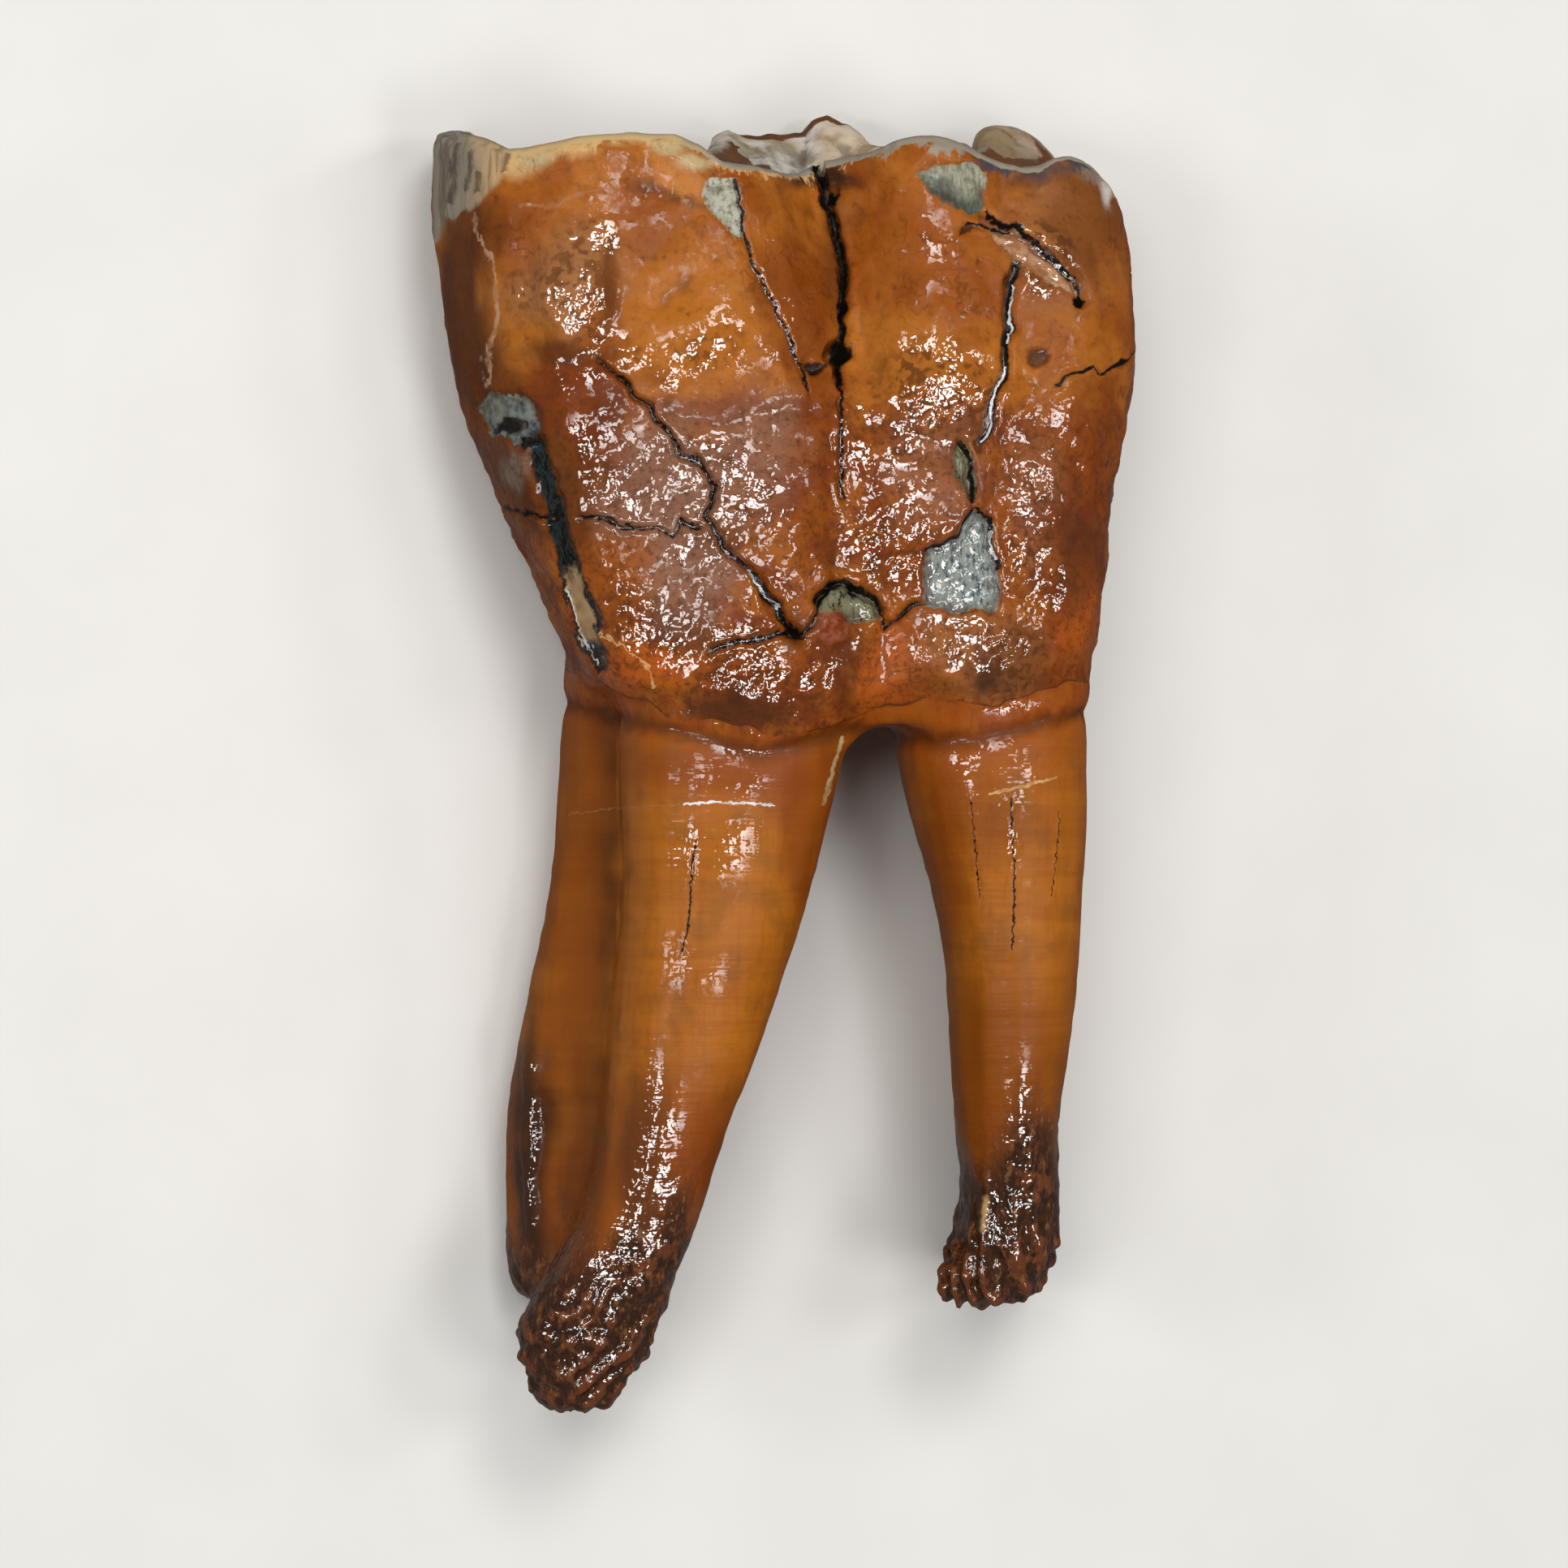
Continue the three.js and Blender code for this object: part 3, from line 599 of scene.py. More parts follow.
# the white of the painted highlights along cracks and edges
HIGHLIGHT_WHITE = shade(226, 230, 232)
DENTINE = shade(134, 82, 40)

# %% Stain, painted shade and painted highlight lists: a colour, how strong it is, and an oval on the sheet
STAINS_SHADE_AND_HIGHLIGHTS = [
    # painted shade: the first two DUSK ovals darken the left face and flank, which turn away from the
    # light
    (DUSK, 0.8, 572, 390, 46, 150), (DUSK, 0.7, 632, 560, 50, 100), (TAN, 0.8, 705, 355, 60, 68),
    (OCHRE, 0.8, 880, 370, 80, 95), (ORANGE, 0.7, 744, 400, 30, 56), (RUST, 0.6, 984, 462, 26, 60),
    # partly stain, partly painted shade: the UMBER oval at 1028, 300 darkens the sides of the groove
    (RUST, 0.45, 978, 350, 36, 80), (UMBER, 0.55, 1028, 300, 16, 110), (UMBER, 0.85, 1004, 218, 34, 16),
    (BURNT, 0.75, 1032, 222, 34, 12), (ORANGE, 0.6, 1110, 290, 70, 70), (OCHRE, 0.9, 1120, 420, 60, 44),
    (TAN, 0.45, 1300, 300, 70, 90), (RUST, 0.7, 880, 508, 130, 16), (RUST, 0.8, 708, 505, 52, 64),
    (UMBER, 0.4, 742, 520, 26, 40), (DUSK, 0.7, 712, 625, 40, 62), (PINK, 0.9, 825, 600, 76, 84),
    (PINK, 0.8, 840, 708, 64, 66), (PINK, 0.7, 930, 575, 60, 66), (PINK, 0.4, 1160, 570, 56, 80),
    # partly stain, partly painted shade: the RUST oval at 1340, 620 darkens the right edge, which turns
    # away
    (RUST, 0.5, 1010, 580, 40, 120), (RUST, 0.4, 1120, 690, 60, 60), (RUST, 0.7, 1340, 620, 40, 150),
    (PINK, 0.35, 1275, 610, 36, 90), (ORANGE, 0.7, 745, 715, 34, 60), (GLOW, 0.9, 790, 826, 56, 30),
    (UMBER, 0.4, 905, 880, 60, 24), (RUST, 0.7, 935, 840, 70, 50), (UMBER, 0.45, 1040, 835, 24, 50),
    (GLOW, 0.8, 1098, 825, 34, 50), (TAN, 0.5, 1200, 800, 90, 56), (UMBER, 0.4, 1222, 826, 22, 22),
    (GLOW, 0.6, 1338, 770, 26, 60), (ORANGE, 0.5, 1330, 285, 50, 110), (PEACH, 0.6, 850, 226, 50, 30),
    # partly stain, partly painted shade: the UMBER oval at 1325, 275 darkens the upper right edge
    (UMBER, 0.45, 1325, 275, 60, 80), (IVORY, 0.95, 640, 200, 24, 17), (CREAM, 0.9, 664, 194, 22, 13),
    (IVORY, 0.9, 702, 183, 30, 10), (CREAM, 0.9, 822, 180, 26, 8), (CREAM, 0.9, 860, 196, 26, 9),
    (IVORY, 0.5, 800, 173, 50, 6), (SLATE, 0.7, 1225, 203, 34, 6), (SLATE, 0.8, 1276, 216, 34, 7),
    # painted highlight: the CHALK oval at 1360, 236 is a pale highlight on the rim's right end
    (SLATE, 0.6, 1320, 208, 26, 7), (HORN, 0.6, 1345, 218, 20, 12), (CHALK, 0.8, 1360, 236, 9, 20),
    (UMBER, 0.5, 1262, 225, 34, 8), (HORN, 0.5, 638, 578, 14, 28), (RUST, 0.5, 690, 470, 40, 30),
    # painted shade: the DUSK ovals at 752, 350 and, on the next line, 700, 436 darken the lump's right and
    # lower edges
    (UMBER, 0.6, 800, 236, 30, 8), (UMBER, 0.6, 846, 250, 30, 8), (DUSK, 0.7, 752, 350, 12, 56),
    (DUSK, 0.7, 700, 436, 60, 14), (UMBER, 0.6, 912, 872, 70, 18), (BURNT, 0.6, 906, 852, 11, 16),
    (UMBER, 0.5, 860, 775, 50, 26), (BURNT, 0.6, 1214, 832, 11, 18), (UMBER, 0.4, 1262, 806, 60, 40),
    # partly stain, partly painted shade: the UMBER oval at 1330, 690 darkens the right edge
    (UMBER, 0.4, 1146, 852, 60, 12), (BURNT, 0.5, 985, 778, 14, 20), (UMBER, 0.45, 1330, 690, 26, 60),
    (UMBER, 0.4, 900, 660, 34, 22),
]
ROOT_STAINS_AND_SHADE = [
    # painted shade: the two DUSK ovals darken the furrow between the back root's columns
    (DUSK, 0.7, 742, 1060, 26, 190), (DUSK, 0.45, 722, 1400, 22, 180), (UMBER, 0.6, 800, 1420, 30, 90),
    (ROOT_RED, 0.7, 880, 1430, 40, 80), (UMBER, 0.6, 664, 1420, 26, 190),
    (BURNT, 0.75, 655, 1440, 18, 160), (UMBER, 0.5, 1270, 1420, 40, 50),
    # painted shade: ROOT_DARK at 705, 1100 darkens the back root's tongue-side column; ROOT_RED at 900,
    # 945 is a painted shadow under the crown
    (ROOT_DARK, 0.8, 705, 1100, 34, 220), (ROOT_RED, 0.5, 900, 945, 130, 30),
    # partly stain, partly painted shade: these two ovals darken the roots' edges that face the gap between
    # them
    (ROOT_RED, 0.6, 990, 1040, 30, 130), (ROOT_RED, 0.5, 1165, 1060, 30, 130),
    (ROOT_DARK, 0.8, 1240, 1320, 90, 120), (ROOT_DARK, 0.6, 1230, 1000, 60, 40),
]
# A wet place is an oval and how thick the lacquer lies there.
WET = [
    (705, 360, 62, 78, 1.0), (830, 440, 90, 46, 0.6), (905, 400, 40, 50, 0.5), (1110, 300, 70, 70, 0.35),
    (1160, 480, 90, 70, 1.2), (870, 620, 160, 110, 0.55), (740, 560, 60, 60, 0.6), (700, 460, 40, 40, 0.7),
    (930, 850, 90, 52, 1.5), (1050, 580, 60, 90, 0.6), (1120, 660, 70, 100, 0.85),
    (1285, 630, 66, 140, 0.8), (1210, 800, 94, 58, 0.95), (1284, 318, 50, 40, 1.1),
    (1185, 690, 50, 60, 0.5), (970, 360, 36, 110, 0.6), (790, 790, 110, 70, 0.8),
    (880, 1045, 56, 46, 0.42), (850, 1185, 66, 36, 0.45), (805, 1420, 40, 100, 0.9),
    (650, 1400, 16, 150, 1.0), (1240, 950, 100, 36, 0.42), (890, 955, 60, 36, 0.45),
    (630, 520, 40, 40, 0.5), (930, 800, 60, 50, 1.0), (850, 872, 90, 16, 0.6), (1210, 868, 100, 10, 0.6),
    (1250, 1036, 10, 24, 0.8),
]
print("stains:", len(STAINS_SHADE_AND_HIGHLIGHTS) + len(ROOT_STAINS_AND_SHADE), "wet places:", len(WET))

# %% Lay the stains, painted shade and painted highlights down
seen = kept(skin, "seen")
STRAY = 26                     # steps the edge of a big oval may wander; a small one wanders less
drift = STRAY * layered(points, 4.5, 2, seed=77)


def oval_share(x, y, half_wide, half_high):
    """1 inside an oval on the sheet, with a soft, wandering edge."""
    loose = drift * min(1, half_wide / 40, half_high / 40)
    away = oval_distance(across + loose, down - loose, x, y, half_wide, half_high)
    return (1 - rise(away, 0.5, 1.5)) * seen


for name, oval_layers in (("stain", STAINS_SHADE_AND_HIGHLIGHTS), ("root_stain", ROOT_STAINS_AND_SHADE)):
    layer = np.zeros((len(points), 4))
    for stain, strength, *oval in oval_layers:
        share = (strength * oval_share(*oval))[:, None]
        layer = layer * (1 - share) + np.array(stain) * share
    skin.data.attributes.new(name, "FLOAT_COLOR", "POINT").data.foreach_set("color", layer.ravel())
LOW_CROWN = (440, 620)         # steps down; more lacquer has stayed from here on
patches = rise(lumps(points, 4, seed=81), -0.1, 0.5)
low_crown = rise(down, *LOW_CROWN)
wet = 0.03 + np.where(kept(skin, "above_edge") > -0.1,
                      (0.2 + 0.3 * patches) * (1 - seen * (0.75 - 0.5 * low_crown)), 0)
for *oval, strength in WET:
    wet = np.maximum(wet, strength * oval_share(*oval) * (0.6 + 0.4 * patches))
wet = np.maximum(wet, 0.95 * kept(skin, "burnt"))
keep(skin, "wet", wet)
keep(skin, "wrinkles", 0.02 + wet * np.where(kept(skin, "above_crease") < 0, 0.16, 0.18))
print("wettest corner:", wet.max().round(2))

# %% [markdown]
# ## Writing a finish as sums
# A finish is a net of shader nodes, which is hard to read node by node. So one small class wraps a
# socket and lets Python's own signs add the Math nodes, and `Finish` makes all the others. Colours
# go through Mix nodes, since a Math node would turn them grey.

# %% Sockets with signs
class Line:
    """A socket of a finish. Sums on it add Math nodes."""

    def __init__(self, finish, socket):
        self.finish, self.socket = finish, socket

    def __add__(self, other):
        return self.finish.math("ADD", self, other)

    def __sub__(self, other):
        return self.finish.math("SUBTRACT", self, other)

    def __rsub__(self, other):
        return self.finish.math("SUBTRACT", other, self)

    def __mul__(self, other):
        return self.finish.math("MULTIPLY", self, other)

    def __abs__(self):
        return self.finish.math("ABSOLUTE", self)

    __radd__ = __add__
    __rmul__ = __mul__


class Finish:
    """One material, built from the back to the front."""

    def __init__(self, name):
        self.material = bpy.data.materials.new(name)
        self.material.use_nodes = True
        self.tree = self.material.node_tree
        self.tree.nodes.clear()

    def node(self, kind, settings=None, inputs=None, output=0):
        """Adds a node: its settings first, then values or lines for its sockets."""
        made = self.tree.nodes.new("ShaderNode" + kind)
        for name, value in (settings or {}).items():
            if name == "line":
                curve = made.mapping.curves[0]
                for at, high in value[1:-1]:
                    curve.points.new(at, high)
                for point, (at, high) in zip(curve.points, value):
                    point.location = (at, high)
                    point.handle_type = "VECTOR"
                made.mapping.update()
            else:
                setattr(made, name, value)
        for name, value in (inputs or {}).items():
            socket = made.inputs[name]
            if isinstance(value, Line):
                self.tree.links.new(value.socket, socket)
            else:
                socket.default_value = value
        return Line(self, made.outputs[output]) if made.outputs else None

    def math(self, operation, *values):
        """Adds a Math node."""
        return self.node("Math", {"operation": operation}, dict(enumerate(values)))

    def most(self, one, other):
        """The larger of two values."""
        return self.math("MAXIMUM", one, other)

    def step(self, value, start, end, low=0.0, high=1.0):
        """0 before start, 1 after end, smooth between."""
        return self.node("MapRange", {"interpolation_type": "SMOOTHSTEP"}, {
            "Value": value, "From Min": start, "From Max": end, "To Min": low, "To Max": high})

    def drop(self, value, start, end):
        """1 before start, 0 after end, smooth between."""
        return self.step(value, start, end, 1.0, 0.0)

    def mix(self, under, over, share):
        """One colour over another."""
        return self.node("Mix", {"data_type": "RGBA"}, {0: share, 6: under, 7: over}, output=2)

    def lay(self, over, share):
        """Lays one more colour over all that is there so far."""
        self.colour = self.mix(self.colour, over, share)

    def attribute(self, name, output=2):
        """What is kept on the corners under a name."""
        return self.node("Attribute", {"attribute_name": name}, output=output)


print("finishes can be written")

# %% [markdown]
# ## The lacquered fossil
# Three things give the tooth its look: cement stained from ochre to rust, grey enamel where flakes
# are lost, and a museum's lacquer that has dried in wrinkles and throws hundreds of small glints.
# Most glints come from a small bump under a low roughness; a few along cracks and edges are painted
# highlights.

# %% Places
fossil = Finish("lacquered_fossil_tooth")
mix, lay, step, drop, most = fossil.mix, fossil.lay, fossil.step, fossil.drop, fossil.most
place = fossil.node("VectorMath", {"operation": "SCALE"}, {
    0: fossil.node("TexCoord", output=3), "Scale": 1 / MM})


def squeezed(*factors):
    """The place in space, squeezed along some axes so that noise on it runs out into streaks."""
    return fossil.node("VectorMath", {"operation": "MULTIPLY"}, {0: place, 1: factors})


rings_place = squeezed(0.08, 1, 0.08)
streaks_place = squeezed(1, 0.08, 1)
short_place = squeezed(1, 0.45, 1)


def grain(size, detail=2.0, roughness=0.5, where=None):
    """Noise from 0 to 1 with features about `size` millimetres across."""
    return fossil.node("TexNoise", inputs={"Vector": where or place, "Scale": 1 / size,
                                           "Detail": detail, "Roughness": roughness})


sheet = fossil.node("UVMap", {"uv_map": "sheet"})
fray = (grain(0.45) - 0.5) * 9
across_s = fossil.node("SeparateXYZ", inputs={0: sheet}) * SHEET + fray
down_s = (1 - fossil.node("SeparateXYZ", inputs={0: sheet}, output=1)) * SHEET - fray
seen_s, edge_s, crease_s, flat_s, from_edge_s, hollow_s = (fossil.attribute(name) for name in (
    "seen", "above_edge", "above_crease", "flat_top", "from_edge", "hollow"))


def stained(under, name):
    """Lays a kept layer of stains and painted shade, colour and cover, over a colour."""
    cover, kept_colour = fossil.attribute(name, 3), fossil.attribute(name, 0)
    return fossil.node("Mix", {"data_type": "RGBA", "blend_type": "ADD"}, {
        0: 1.0, 6: mix(under, (0, 0, 0, 1), cover), 7: kept_colour}, output=2)


print("places ready")

# %% [markdown]
# The lines and ovals that were carved come back as masks. A line is a curve node that gives its
# place for each step of the sheet, so one subtraction tells how far any point is from it.

# %% Marks as masks
RUN_OFF = 5                    # steps past a line's end in which it runs off the tooth
width_s = 0.45 + grain(1.3) * 1.1


def traced(points, value, way, flare):
    """The line of points as a curve the finish can follow; past its ends it runs off by `flare`."""
    along = 1 if way == "down" else 0
    line = [(point[along], point[1 - along]) for point in points]
    line = [(line[0][0] - RUN_OFF, line[0][1] + flare), *line,
            (line[-1][0] + RUN_OFF, line[-1][1] + flare)]
    start, run = line[0][0], line[-1][0] - line[0][0]
    low, high = (pick(offset for _, offset in line) for pick in (min, max))
    stops = [((at - start) / run, (offset - low) / (high - low)) for at, offset in line]
    curve = fossil.node("FloatCurve", {"line": stops}, {
        "Value": fossil.math("MULTIPLY_ADD", value, 1 / run, -start / run)})
    return fossil.math("MULTIPLY_ADD", curve, high - low, low)


def crack_mask(points, way, half, soft=0.5):
    """1 along a crack, ragged in width, 0 away from it."""
    value, offset = (down_s, across_s) if way == "down" else (across_s, down_s)
    away = abs(offset - traced(points, value, way, SHEET)) * width_s
    return drop(away, half * (1 - soft), half * (1 + soft))


def chip_mask(left, right, soft=3.0):
    """1 inside a chip's outline."""
    past_left = across_s - traced(left, down_s, "down", SHEET)
    past_right = traced(right, down_s, "down", -SHEET) - across_s
    return step(fossil.math("MINIMUM", past_left, past_right), -soft, soft)


def oval_mask(x, y, half_wide, half_high):
    """1 in an oval on the sheet, with a soft edge."""
    wide = fossil.math("MULTIPLY_ADD", across_s, 1 / half_wide, -x / half_wide)
    high = fossil.math("MULTIPLY_ADD", down_s, 1 / half_high, -y / half_high)
    return drop(fossil.math("MULTIPLY_ADD", wide, wide, high * high), 0.5, 1.4)


print("mask tools ready")

# %% [markdown]
# Colours are laid on from the ground up, as a restorer would: ochre, the kept stains and painted
# shade, then grit, fine threads and the dark valleys of the lacquer.

# %% Stained cement
LOWER_FROM = (430, 540)        # steps down; the cement is darker from here on
rim_s = fossil.attribute("to_rim")
big, middle, small = grain(8, 3.0), grain(3.0, 4.0, 0.6), grain(1.0, 3.0, 0.6)
wrinkle, wet_s = grain(0.72, 1.5, 0.5), fossil.attribute("wet")
lower = step(down_s + (big - 0.5) * 160, *LOWER_FROM)
fossil.colour = mix(OCHRE, ORANGE, step(big, 0.4, 0.62))
lay(ORANGE, lower * 0.7)
lay(RUST, step(middle, 0.42, 0.64) * (lower * 0.6 + 0.3))
fossil.colour = stained(fossil.colour, "stain")
lay(UMBER, step(small, 0.56, 0.78) * 0.45)
grit = step(grain(0.55, 3.0, 0.7), 0.46, 0.7)
lay(DUSK, grit * (0.22 + 0.42 * lower))
threads = drop(abs(grain(5.3, 3.0, 0.6) - 0.5), 0.003, 0.014)
lay(UMBER, threads * step(big, 0.46, 0.6) * 0.35)
valley = drop(wrinkle, 0.38, 0.52) * step(wet_s, 0.3, 0.7)
lay(DUSK, valley * 0.7)
print("cement coloured")

# %% Band, crease and roots
REDDER_FROM = (1350, 1560)     # steps down the roots
rings_g = grain(2.4, 3.0, 0.6, rings_place)
streaks_g = grain(2.6, 3.0, 0.6, streaks_place)
fibres = grain(0.5, 3.0, 0.6, streaks_place)
band = mix(mix(BAND, ORANGE, step(middle, 0.4, 0.6)), RUST,
           step(streaks_g + (small - 0.5) * 0.6, 0.45, 0.7) * 0.55)
fossil.colour = mix(band, fossil.colour, step(edge_s, -0.12, 0.08))
lay(DUSK, step(fibres, 0.5, 0.72) * drop(edge_s, -0.1, 0.3) * 0.35)
edge_line = drop(abs(edge_s + 0.05), 0.03, 0.14) * step(middle, 0.4, 0.55)
lay(UMBER, edge_line * 0.7)
fine_rings = grain(0.8, 2.0, 0.6, rings_place)
root = mix(ROOT, ROOT_DARK, step(rings_g + (fine_rings - 0.5) * 0.6, 0.35, 0.75) * 0.34)
root = mix(root, ROOT_RED, step(fibres, 0.5, 0.7) * 0.2)
streaky = step(streaks_g + (middle - 0.5) * 0.5, 0.5, 0.8)
root = mix(root, ROOT_RED, streaky * 0.45)
root = mix(root, ROOT_RED, step(down_s + big * 200, *REDDER_FROM) * 0.6)
# painted shadow: the tops of the roots, under the crown's overhang, are darkened towards the band's colour
root = mix(root, BAND, step(crease_s, -8, -0.5) * 0.65)
root = mix(root, OLIVE, step(middle, 0.48, 0.66) * 0.4)
root = stained(root, "root_stain")
crown_s = step(crease_s, -0.5, 0.5)
fossil.colour = mix(root, fossil.colour, crown_s)
# painted shade: the crease between crown and roots is darkened
crease_shade = drop(abs(crease_s + (middle - 0.5) * 0.8), 0.0, 1.3)
lay(DUSK, crease_shade * 0.7)
print("band and roots coloured")

# %% [markdown]
# The torn tips soaked up the most: flecks of red and tan lie on nearly black bone. The chewing edge
# is bare enamel around brown dentine, told apart by how far a corner is from the edge.

# %% Colour of the torn tips
burnt_s = fossil.attribute("burnt")
flecks = grain(0.5, 3.0, 0.7, short_place)
tip = mix(BURNT, UMBER, step(flecks, 0.36, 0.56))
tip = mix(tip, TIP_RED, step(hollow_s * -7 + middle + flecks, 0.98, 1.24) * 0.8)
tip = mix(tip, TIP_TAN, step(flecks, 0.56, 0.68) * 0.6)
soot = burnt_s + (flecks - 0.5) * 1.1 + (middle - 0.5) * 0.5
lay(tip, step(soot, 0.3, 0.85))
FLECK, FLECK_OVAL = [(1217, 1466), (1214, 1490), (1209, 1526)], (1213, 1496, 16, 22)
lay(IVORY, crack_mask(FLECK, "down", 3.6, 0.9) * oval_mask(*FLECK_OVAL) * seen_s * 0.8)
print("tips coloured")

# %% Enamel rim and chewing surface, with steps across where its tones change
SLATE_FROM, SLATE_TO, HORN_FROM, GREY_FROM = (1180, 1200), (1335, 1360), (1050, 1090), (800, 900)
rim_edge = rim_s + (middle - 0.5) * 4.4 + (small - 0.5) * 1.2 + (fibres - 0.5) * 2.6
slate_part = step(across_s, *SLATE_FROM) * drop(across_s, *SLATE_TO) * seen_s
enamel = mix(IVORY, KHAKI, step(small, 0.45, 0.7) * 0.5)
enamel = mix(enamel, HORN, step(across_s, *HORN_FROM) * seen_s)
enamel = mix(enamel, SLATE, most(slate_part, step(streaks_g, 0.58, 0.72) * 0.4))
rim_mask = drop(rim_edge, 0.0, 0.6) * step(crease_s, 6, 9)
lay(enamel, rim_mask * 0.92)
ring_mask = (step(from_edge_s + (small - 0.5) * 0.4 + seen_s * 0.6, 0.35, 0.55)
             * drop(from_edge_s + (small - 0.5) * 0.6, 1.6, 1.9))
table_tone = mix(mix(UMBER, DENTINE, middle), mix(
    mix(IVORY, CREAM, small), HORN, step(across_s, *GREY_FROM)), ring_mask)
lay(table_tone, step(flat_s, 0.35, 0.65))
print("chewing surface coloured")

# %% Tongue-side wall and the dome at the back corner
WALL_TOP = (15, 19)            # millimetres above the bench
WALL_END = (205, 225)          # steps down
IVORY_FROM, DUSK_FROM, DOME_IVORY_FROM = (995, 1015), (1150, 1200), (566, 606)     # steps across
height_s = fossil.node("SeparateXYZ", inputs={0: place}, output=2)
far_wall = drop(height_s, *WALL_TOP) * drop(down_s, *WALL_END)
wall = mix(mix(HORN, CHALK, step(middle, 0.35, 0.55)), CREAM, step(big, 0.5, 0.65) * 0.8)
wall = mix(wall, UMBER, step(streaks_g, 0.54, 0.68) * 0.45)
wall = mix(wall, IVORY, step(across_s, *IVORY_FROM) * 0.45)
wall = mix(wall, DUSK, step(across_s, *DUSK_FROM) * 0.35)
lay(wall, far_wall * (
    1 - step(flat_s, 0.5, 0.8) * drop(seen_s, 0.0, 0.25) * step(from_edge_s, 1.2, 1.7)))
dome = chip_mask(*DOME, 7.0) * step(seen_s, 0, 0.3)
dome_tone = mix(HORN, IVORY, step(across_s + (small - 0.5) * 30, *DOME_IVORY_FROM) * 0.6)
dome_tone = mix(dome_tone, UMBER, step(streaks_g + (fibres - 0.5) * 0.7, 0.44, 0.7) * 0.5)
lay(dome_tone, dome)
DOME_STREAKS = [
    [(568, 176), (560, 192), (557, 222), (554, 250)], [(582, 184), (578, 205), (574, 234)],
    [(590, 212), (591, 226), (590, 238)], [(625, 190), (623, 212)],
]
for streak in DOME_STREAKS:
    lay(BURNT, crack_mask(streak, "down", 3.4, 0.95) * 0.6)
print("far wall and dome coloured")

# %% [markdown]
# Where a flake has come off, grey enamel shows. Cracks are drawn last, after the hollows are
# darkened, and the lines that carved them also make their black.

# %% Chips down to the enamel
TEAL_FROM, TEAL_MIDDLE = (212, 250), 1170              # steps down, steps across
PALE_FROM, PALE_TO, PALE_EDGE = (690, 715), (785, 800), (7, 13)
SLIT_MIDDLE = 15               # steps from the slit's left edge
KNOB_TOP = (22, 22)            # half width and half height of the knob's coloured top
speckle = grain(0.35, 2.0, 0.7, short_place)
flaked = mix(mix(SLATE, GREY, step(speckle, 0.3, 0.55)), CREAM, step(speckle, 0.6, 0.75) * 0.6)
green_flaked = mix(mix(BURNT, GREENISH, step(speckle, 0.3, 0.5)), CREAM,
                   step(speckle, 0.6, 0.8) * 0.5)
pale_flaked = mix(GREENISH, PALE, step(speckle, 0.3, 0.55))
dark_flaked = mix(mix(GREENISH, PALE, step(speckle, 0.35, 0.65) * 0.6), TEAL,
                  step(down_s + (middle - 0.5) * 70 - (across_s - TEAL_MIDDLE) * 0.4,
                       *TEAL_FROM) * 0.75)
hole_flaked = mix(mix(SLATE, GREENISH, step(middle, 0.4, 0.6)), GREY, step(small, 0.36, 0.6) * 0.8)
slit_sides = traced(CHIPS["side_slit"][2], down_s, "down", SHEET) + SLIT_MIDDLE
slit_pale = step(down_s + (small - 0.5) * 40, *PALE_FROM) * drop(down_s, *PALE_TO)
slit_pale = slit_pale * drop(abs(across_s - slit_sides), *PALE_EDGE)
slit = mix(mix(CRACK, TEAL, step(speckle, 0.42, 0.6)), UMBER, step(streaks_g, 0.5, 0.64) * 0.7)
slit = mix(slit, mix(TAN, CREAM, small), slit_pale)
FLAKES = {"grey_patch": flaked, "dark_chip": dark_flaked, "grey_slot": green_flaked,
          "crescent": green_flaked, "side_hole": hole_flaked, "side_slit": slit,
          "rim_chip": pale_flaked, "lip": mix(LIP, TAN, step(small, 0.35, 0.6))}
for name, flake in FLAKES.items():
    lay(flake, chip_mask(*CHIPS[name][2:]) * seen_s)
knob = oval_mask(*KNOB[:2], *KNOB_TOP) * seen_s
lay(mix(RUST, BLUSH, step(small, 0.35, 0.6)), knob)
print("chips coloured:", len(FLAKES))

# %% Black lines, pale lines and painted highlights
CRACK_CORE, PIT_CORE = 0.78, 0.85          # the black is narrower than the carved mark
black = 0.0
for way, half, _, line_points in CRACKS.values():
    black = most(black, crack_mask(line_points, way, half * CRACK_CORE))
for x, y, wide, high, _, dark in PITS:
    black = most(black, oval_mask(x, y, wide * PIT_CORE, high * PIT_CORE) * dark)
black = black * seen_s
vein_s = drop(abs(fossil.attribute("veins")), 0.008, 0.02) * fossil.attribute("vein_zone")
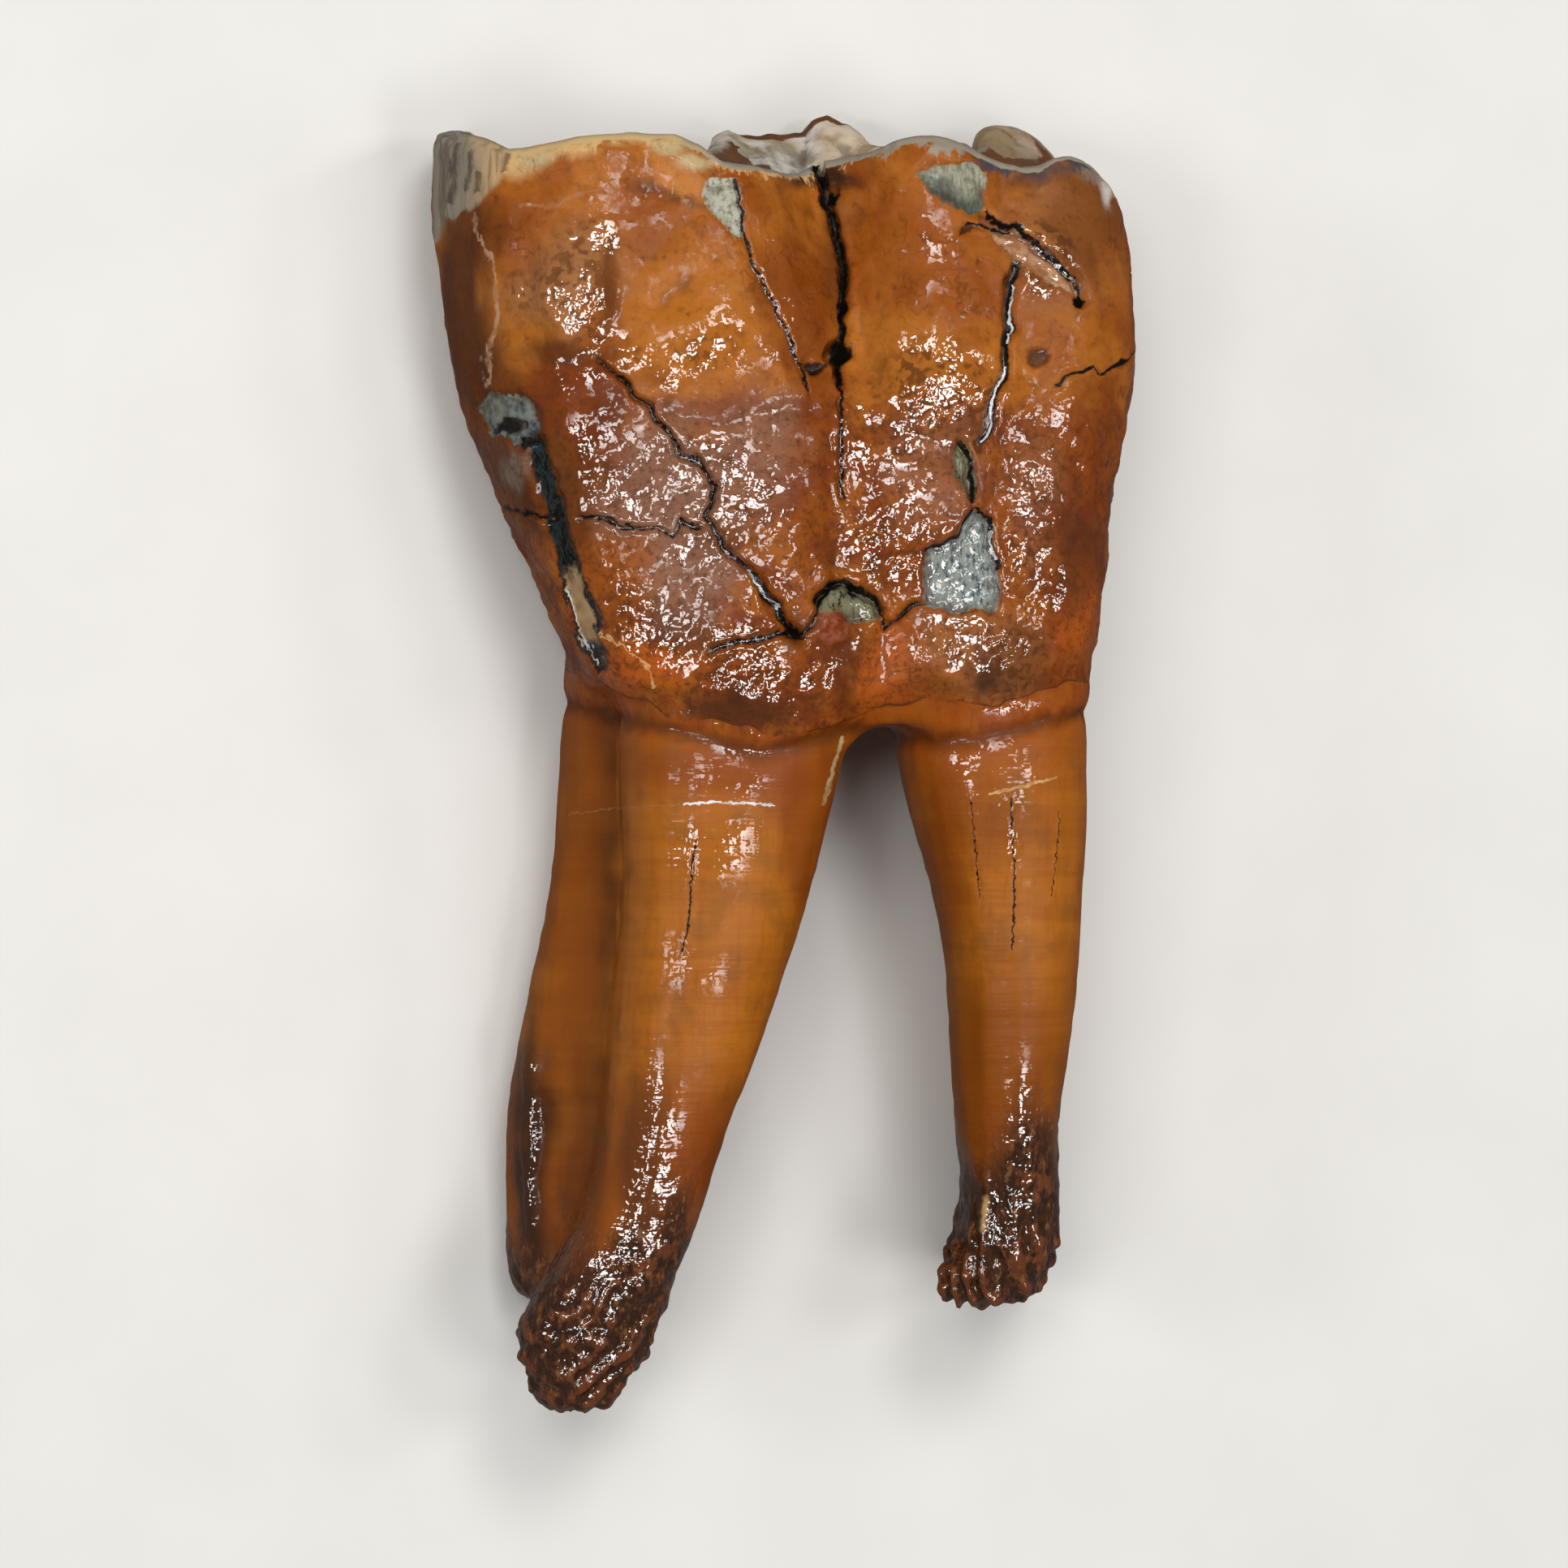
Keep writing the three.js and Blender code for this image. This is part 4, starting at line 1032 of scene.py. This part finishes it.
# the hollows of the net are made darker
hollow_dark = step(hollow_s, 0.004, 0.03)
lay(UMBER, hollow_dark * 0.5)
lay(CRACK, most(black, vein_s))
PALE_LINES_AND_HIGHLIGHTS = [
    ("down", 2.2, LIP, [(583, 260), (585, 285), (603, 310), (611, 345), (609, 405), (599, 430),
                        (602, 480)]),
    ("across", 1.8, TAN, [(640, 255), (690, 252), (740, 228), (770, 228)]),
    # partly a pale line on the root, partly a painted highlight along it
    ("across", 1.4, HIGHLIGHT_WHITE, [(842, 991), (880, 988), (920, 989), (956, 993)]),
    ("across", 0.7, TAN, [(700, 1004), (745, 997), (838, 991)]),
    ("across", 1.8, IVORY, [(1218, 979), (1260, 969), (1303, 957)]),
    ("down", 1.6, IVORY, [(742, 780), (790, 812), (806, 850)]),
    # painted highlight: a pale streak down the inner edge of the back root
    ("down", 2.6, CREAM, [(1038, 906), (1026, 950), (1014, 992)]),
    # painted highlights: the white lines from here to the end of the list are glints painted along cracks
    # and chip edges
    ("down", 1.5, HIGHLIGHT_WHITE, [(1238, 450), (1229, 485), (1217, 525), (1211, 548)]),
    ("down", 1.8, HIGHLIGHT_WHITE, [(922, 702), (940, 728), (958, 752)]),
    ("down", 1.4, HIGHLIGHT_WHITE, [(1250, 352), (1248, 390), (1243, 425)]),
    ("down", 1.4, HIGHLIGHT_WHITE, [(700, 722), (712, 770), (736, 818)]),
    ("down", 1.6, HIGHLIGHT_WHITE, [(1219, 650), (1224, 690)]),
]
broken = step(grain(1.15, 1.0), 0.36, 0.56)
for way, half, tone, line_points in PALE_LINES_AND_HIGHLIGHTS:
    lay(tone, crack_mask(line_points, way, half) * seen_s * (broken * 0.45 + 0.4))
print("cracks stained:", len(CRACKS))

# %% [markdown]
# Lacquer is thick here and thin there, so two shaders, bare and lacquered, are mixed by the kept
# wetness. The wrinkles bump both, so that the glints break up.

# %% Lacquer
relief = wrinkle * fossil.attribute("wrinkles") + fine_rings * (1 - crown_s) * 0.07
bump = fossil.node("Bump", inputs={"Strength": 1.0, "Distance": MM, "Height": relief})
bare, lacquered = (fossil.node("BsdfPrincipled", inputs={
    "Base Color": fossil.colour, "Roughness": roughness, "Normal": bump,
    "Specular IOR Level": shine})
    for roughness, shine in ((0.42, 0.15), (0.03 + small * 0.05, 1.0)))
surface = fossil.node("MixShader", inputs={
    0: step(wet_s + (small - 0.5) * 0.6, 0.05, 0.65), 1: bare, 2: lacquered})
fossil.node("OutputMaterial", inputs={"Surface": surface})
skin.data.materials.clear()
skin.data.materials.append(fossil.material)
print("finish has", len(fossil.tree.nodes), "nodes")

# %% [markdown]
# The skin now stands for all five solids, so it rides on the one body that doesn't move.

# %% Hang the skin on the frame
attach(skin, "root")
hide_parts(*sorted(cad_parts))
print("skin stands for", len(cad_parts), "solids")

# %% [markdown]
# ## Bench and lights
# The bench is a plain pale sheet. One broad soft light does most of the work, a second fills the
# other side, and seven small ones near the camera wake the glints in the lacquer. Only the small
# ones are mirrored, because a broad light would lie on the lacquer as a white sheet.

# %% Bench
BENCH_SIZE = 4                 # metres
bpy.ops.object.select_all(action="DESELECT")
bpy.ops.mesh.primitive_plane_add(size=BENCH_SIZE)
bench = bpy.context.view_layer.objects.active
bench.name = bench.data.name = "bench"
paper = Finish("pale_paper")
paper_tone = paper.mix(shade(214, 212, 208), shade(222, 220, 216),
                       paper.node("TexNoise", inputs={"Scale": 300.0}))
paper.node("OutputMaterial", inputs={"Surface": paper.node("BsdfPrincipled", inputs={
    "Base Color": paper_tone, "Roughness": 0.8, "Specular IOR Level": 0.2})})
bench.data.materials.append(paper.material)
print("bench laid")

# %% Lights
GLINT_LAMPS = (                # name, millimetres to the right and up, and size
    ("a", -60, 80, 105), ("b", 125, 240, 145), ("c", -180, -70, 110), ("d", 240, -140, 135),
    ("e", 380, 50, 115), ("f", 620, 160, 100), ("g", -480, 60, 125))
GLINT_AWAY = 540               # millimetres from the aim
WATT_SIZE = 155                # a lamp of this size gets one watt, so that all are equally bright
BROAD_PLACE = AIM + TOWARDS * 620 + RIGHT * 60 + UPWARD * 220
FILL_PLACE = (420, -120, 380)
BROAD_SIZE, FILL_SIZE = 320, 300
BROAD_POWER, FILL_POWER = 1.05, 0.2            # watts


def soft_light(name, place_mm, size_mm, power):
    """A square light aimed at the tooth."""
    lamp = bpy.data.lights.new(name, "AREA")
    lamp.size = size_mm * MM
    lamp.energy = power
    stand = bpy.data.objects.new(name, lamp)
    bpy.context.scene.collection.objects.link(stand)
    stand.location = Vector(place_mm) * MM
    stand.rotation_euler = (Vector(AIM) * MM - stand.location).to_track_quat("-Z", "Y").to_euler()
    return stand


broad = soft_light("broad_light", BROAD_PLACE, BROAD_SIZE, BROAD_POWER)
fill = soft_light("fill_light", FILL_PLACE, FILL_SIZE, FILL_POWER)
for plain in (broad, fill, bench):
    plain.visible_glossy = False
for name, right, up, size in GLINT_LAMPS:
    stand_at = AIM + TOWARDS * GLINT_AWAY + RIGHT * right + UPWARD * up
    soft_light("glint_light_" + name, stand_at, size, (size / WATT_SIZE) ** 2)
world = bpy.data.worlds.new("room")
bpy.context.scene.world = world
world.use_nodes = True
room = world.node_tree.nodes["Background"].inputs
room["Color"].default_value = (1.0, 0.97, 0.92, 1.0)
room["Strength"].default_value = 0.1
bpy.context.scene.view_settings.view_transform = "Standard"
print("lights ready")
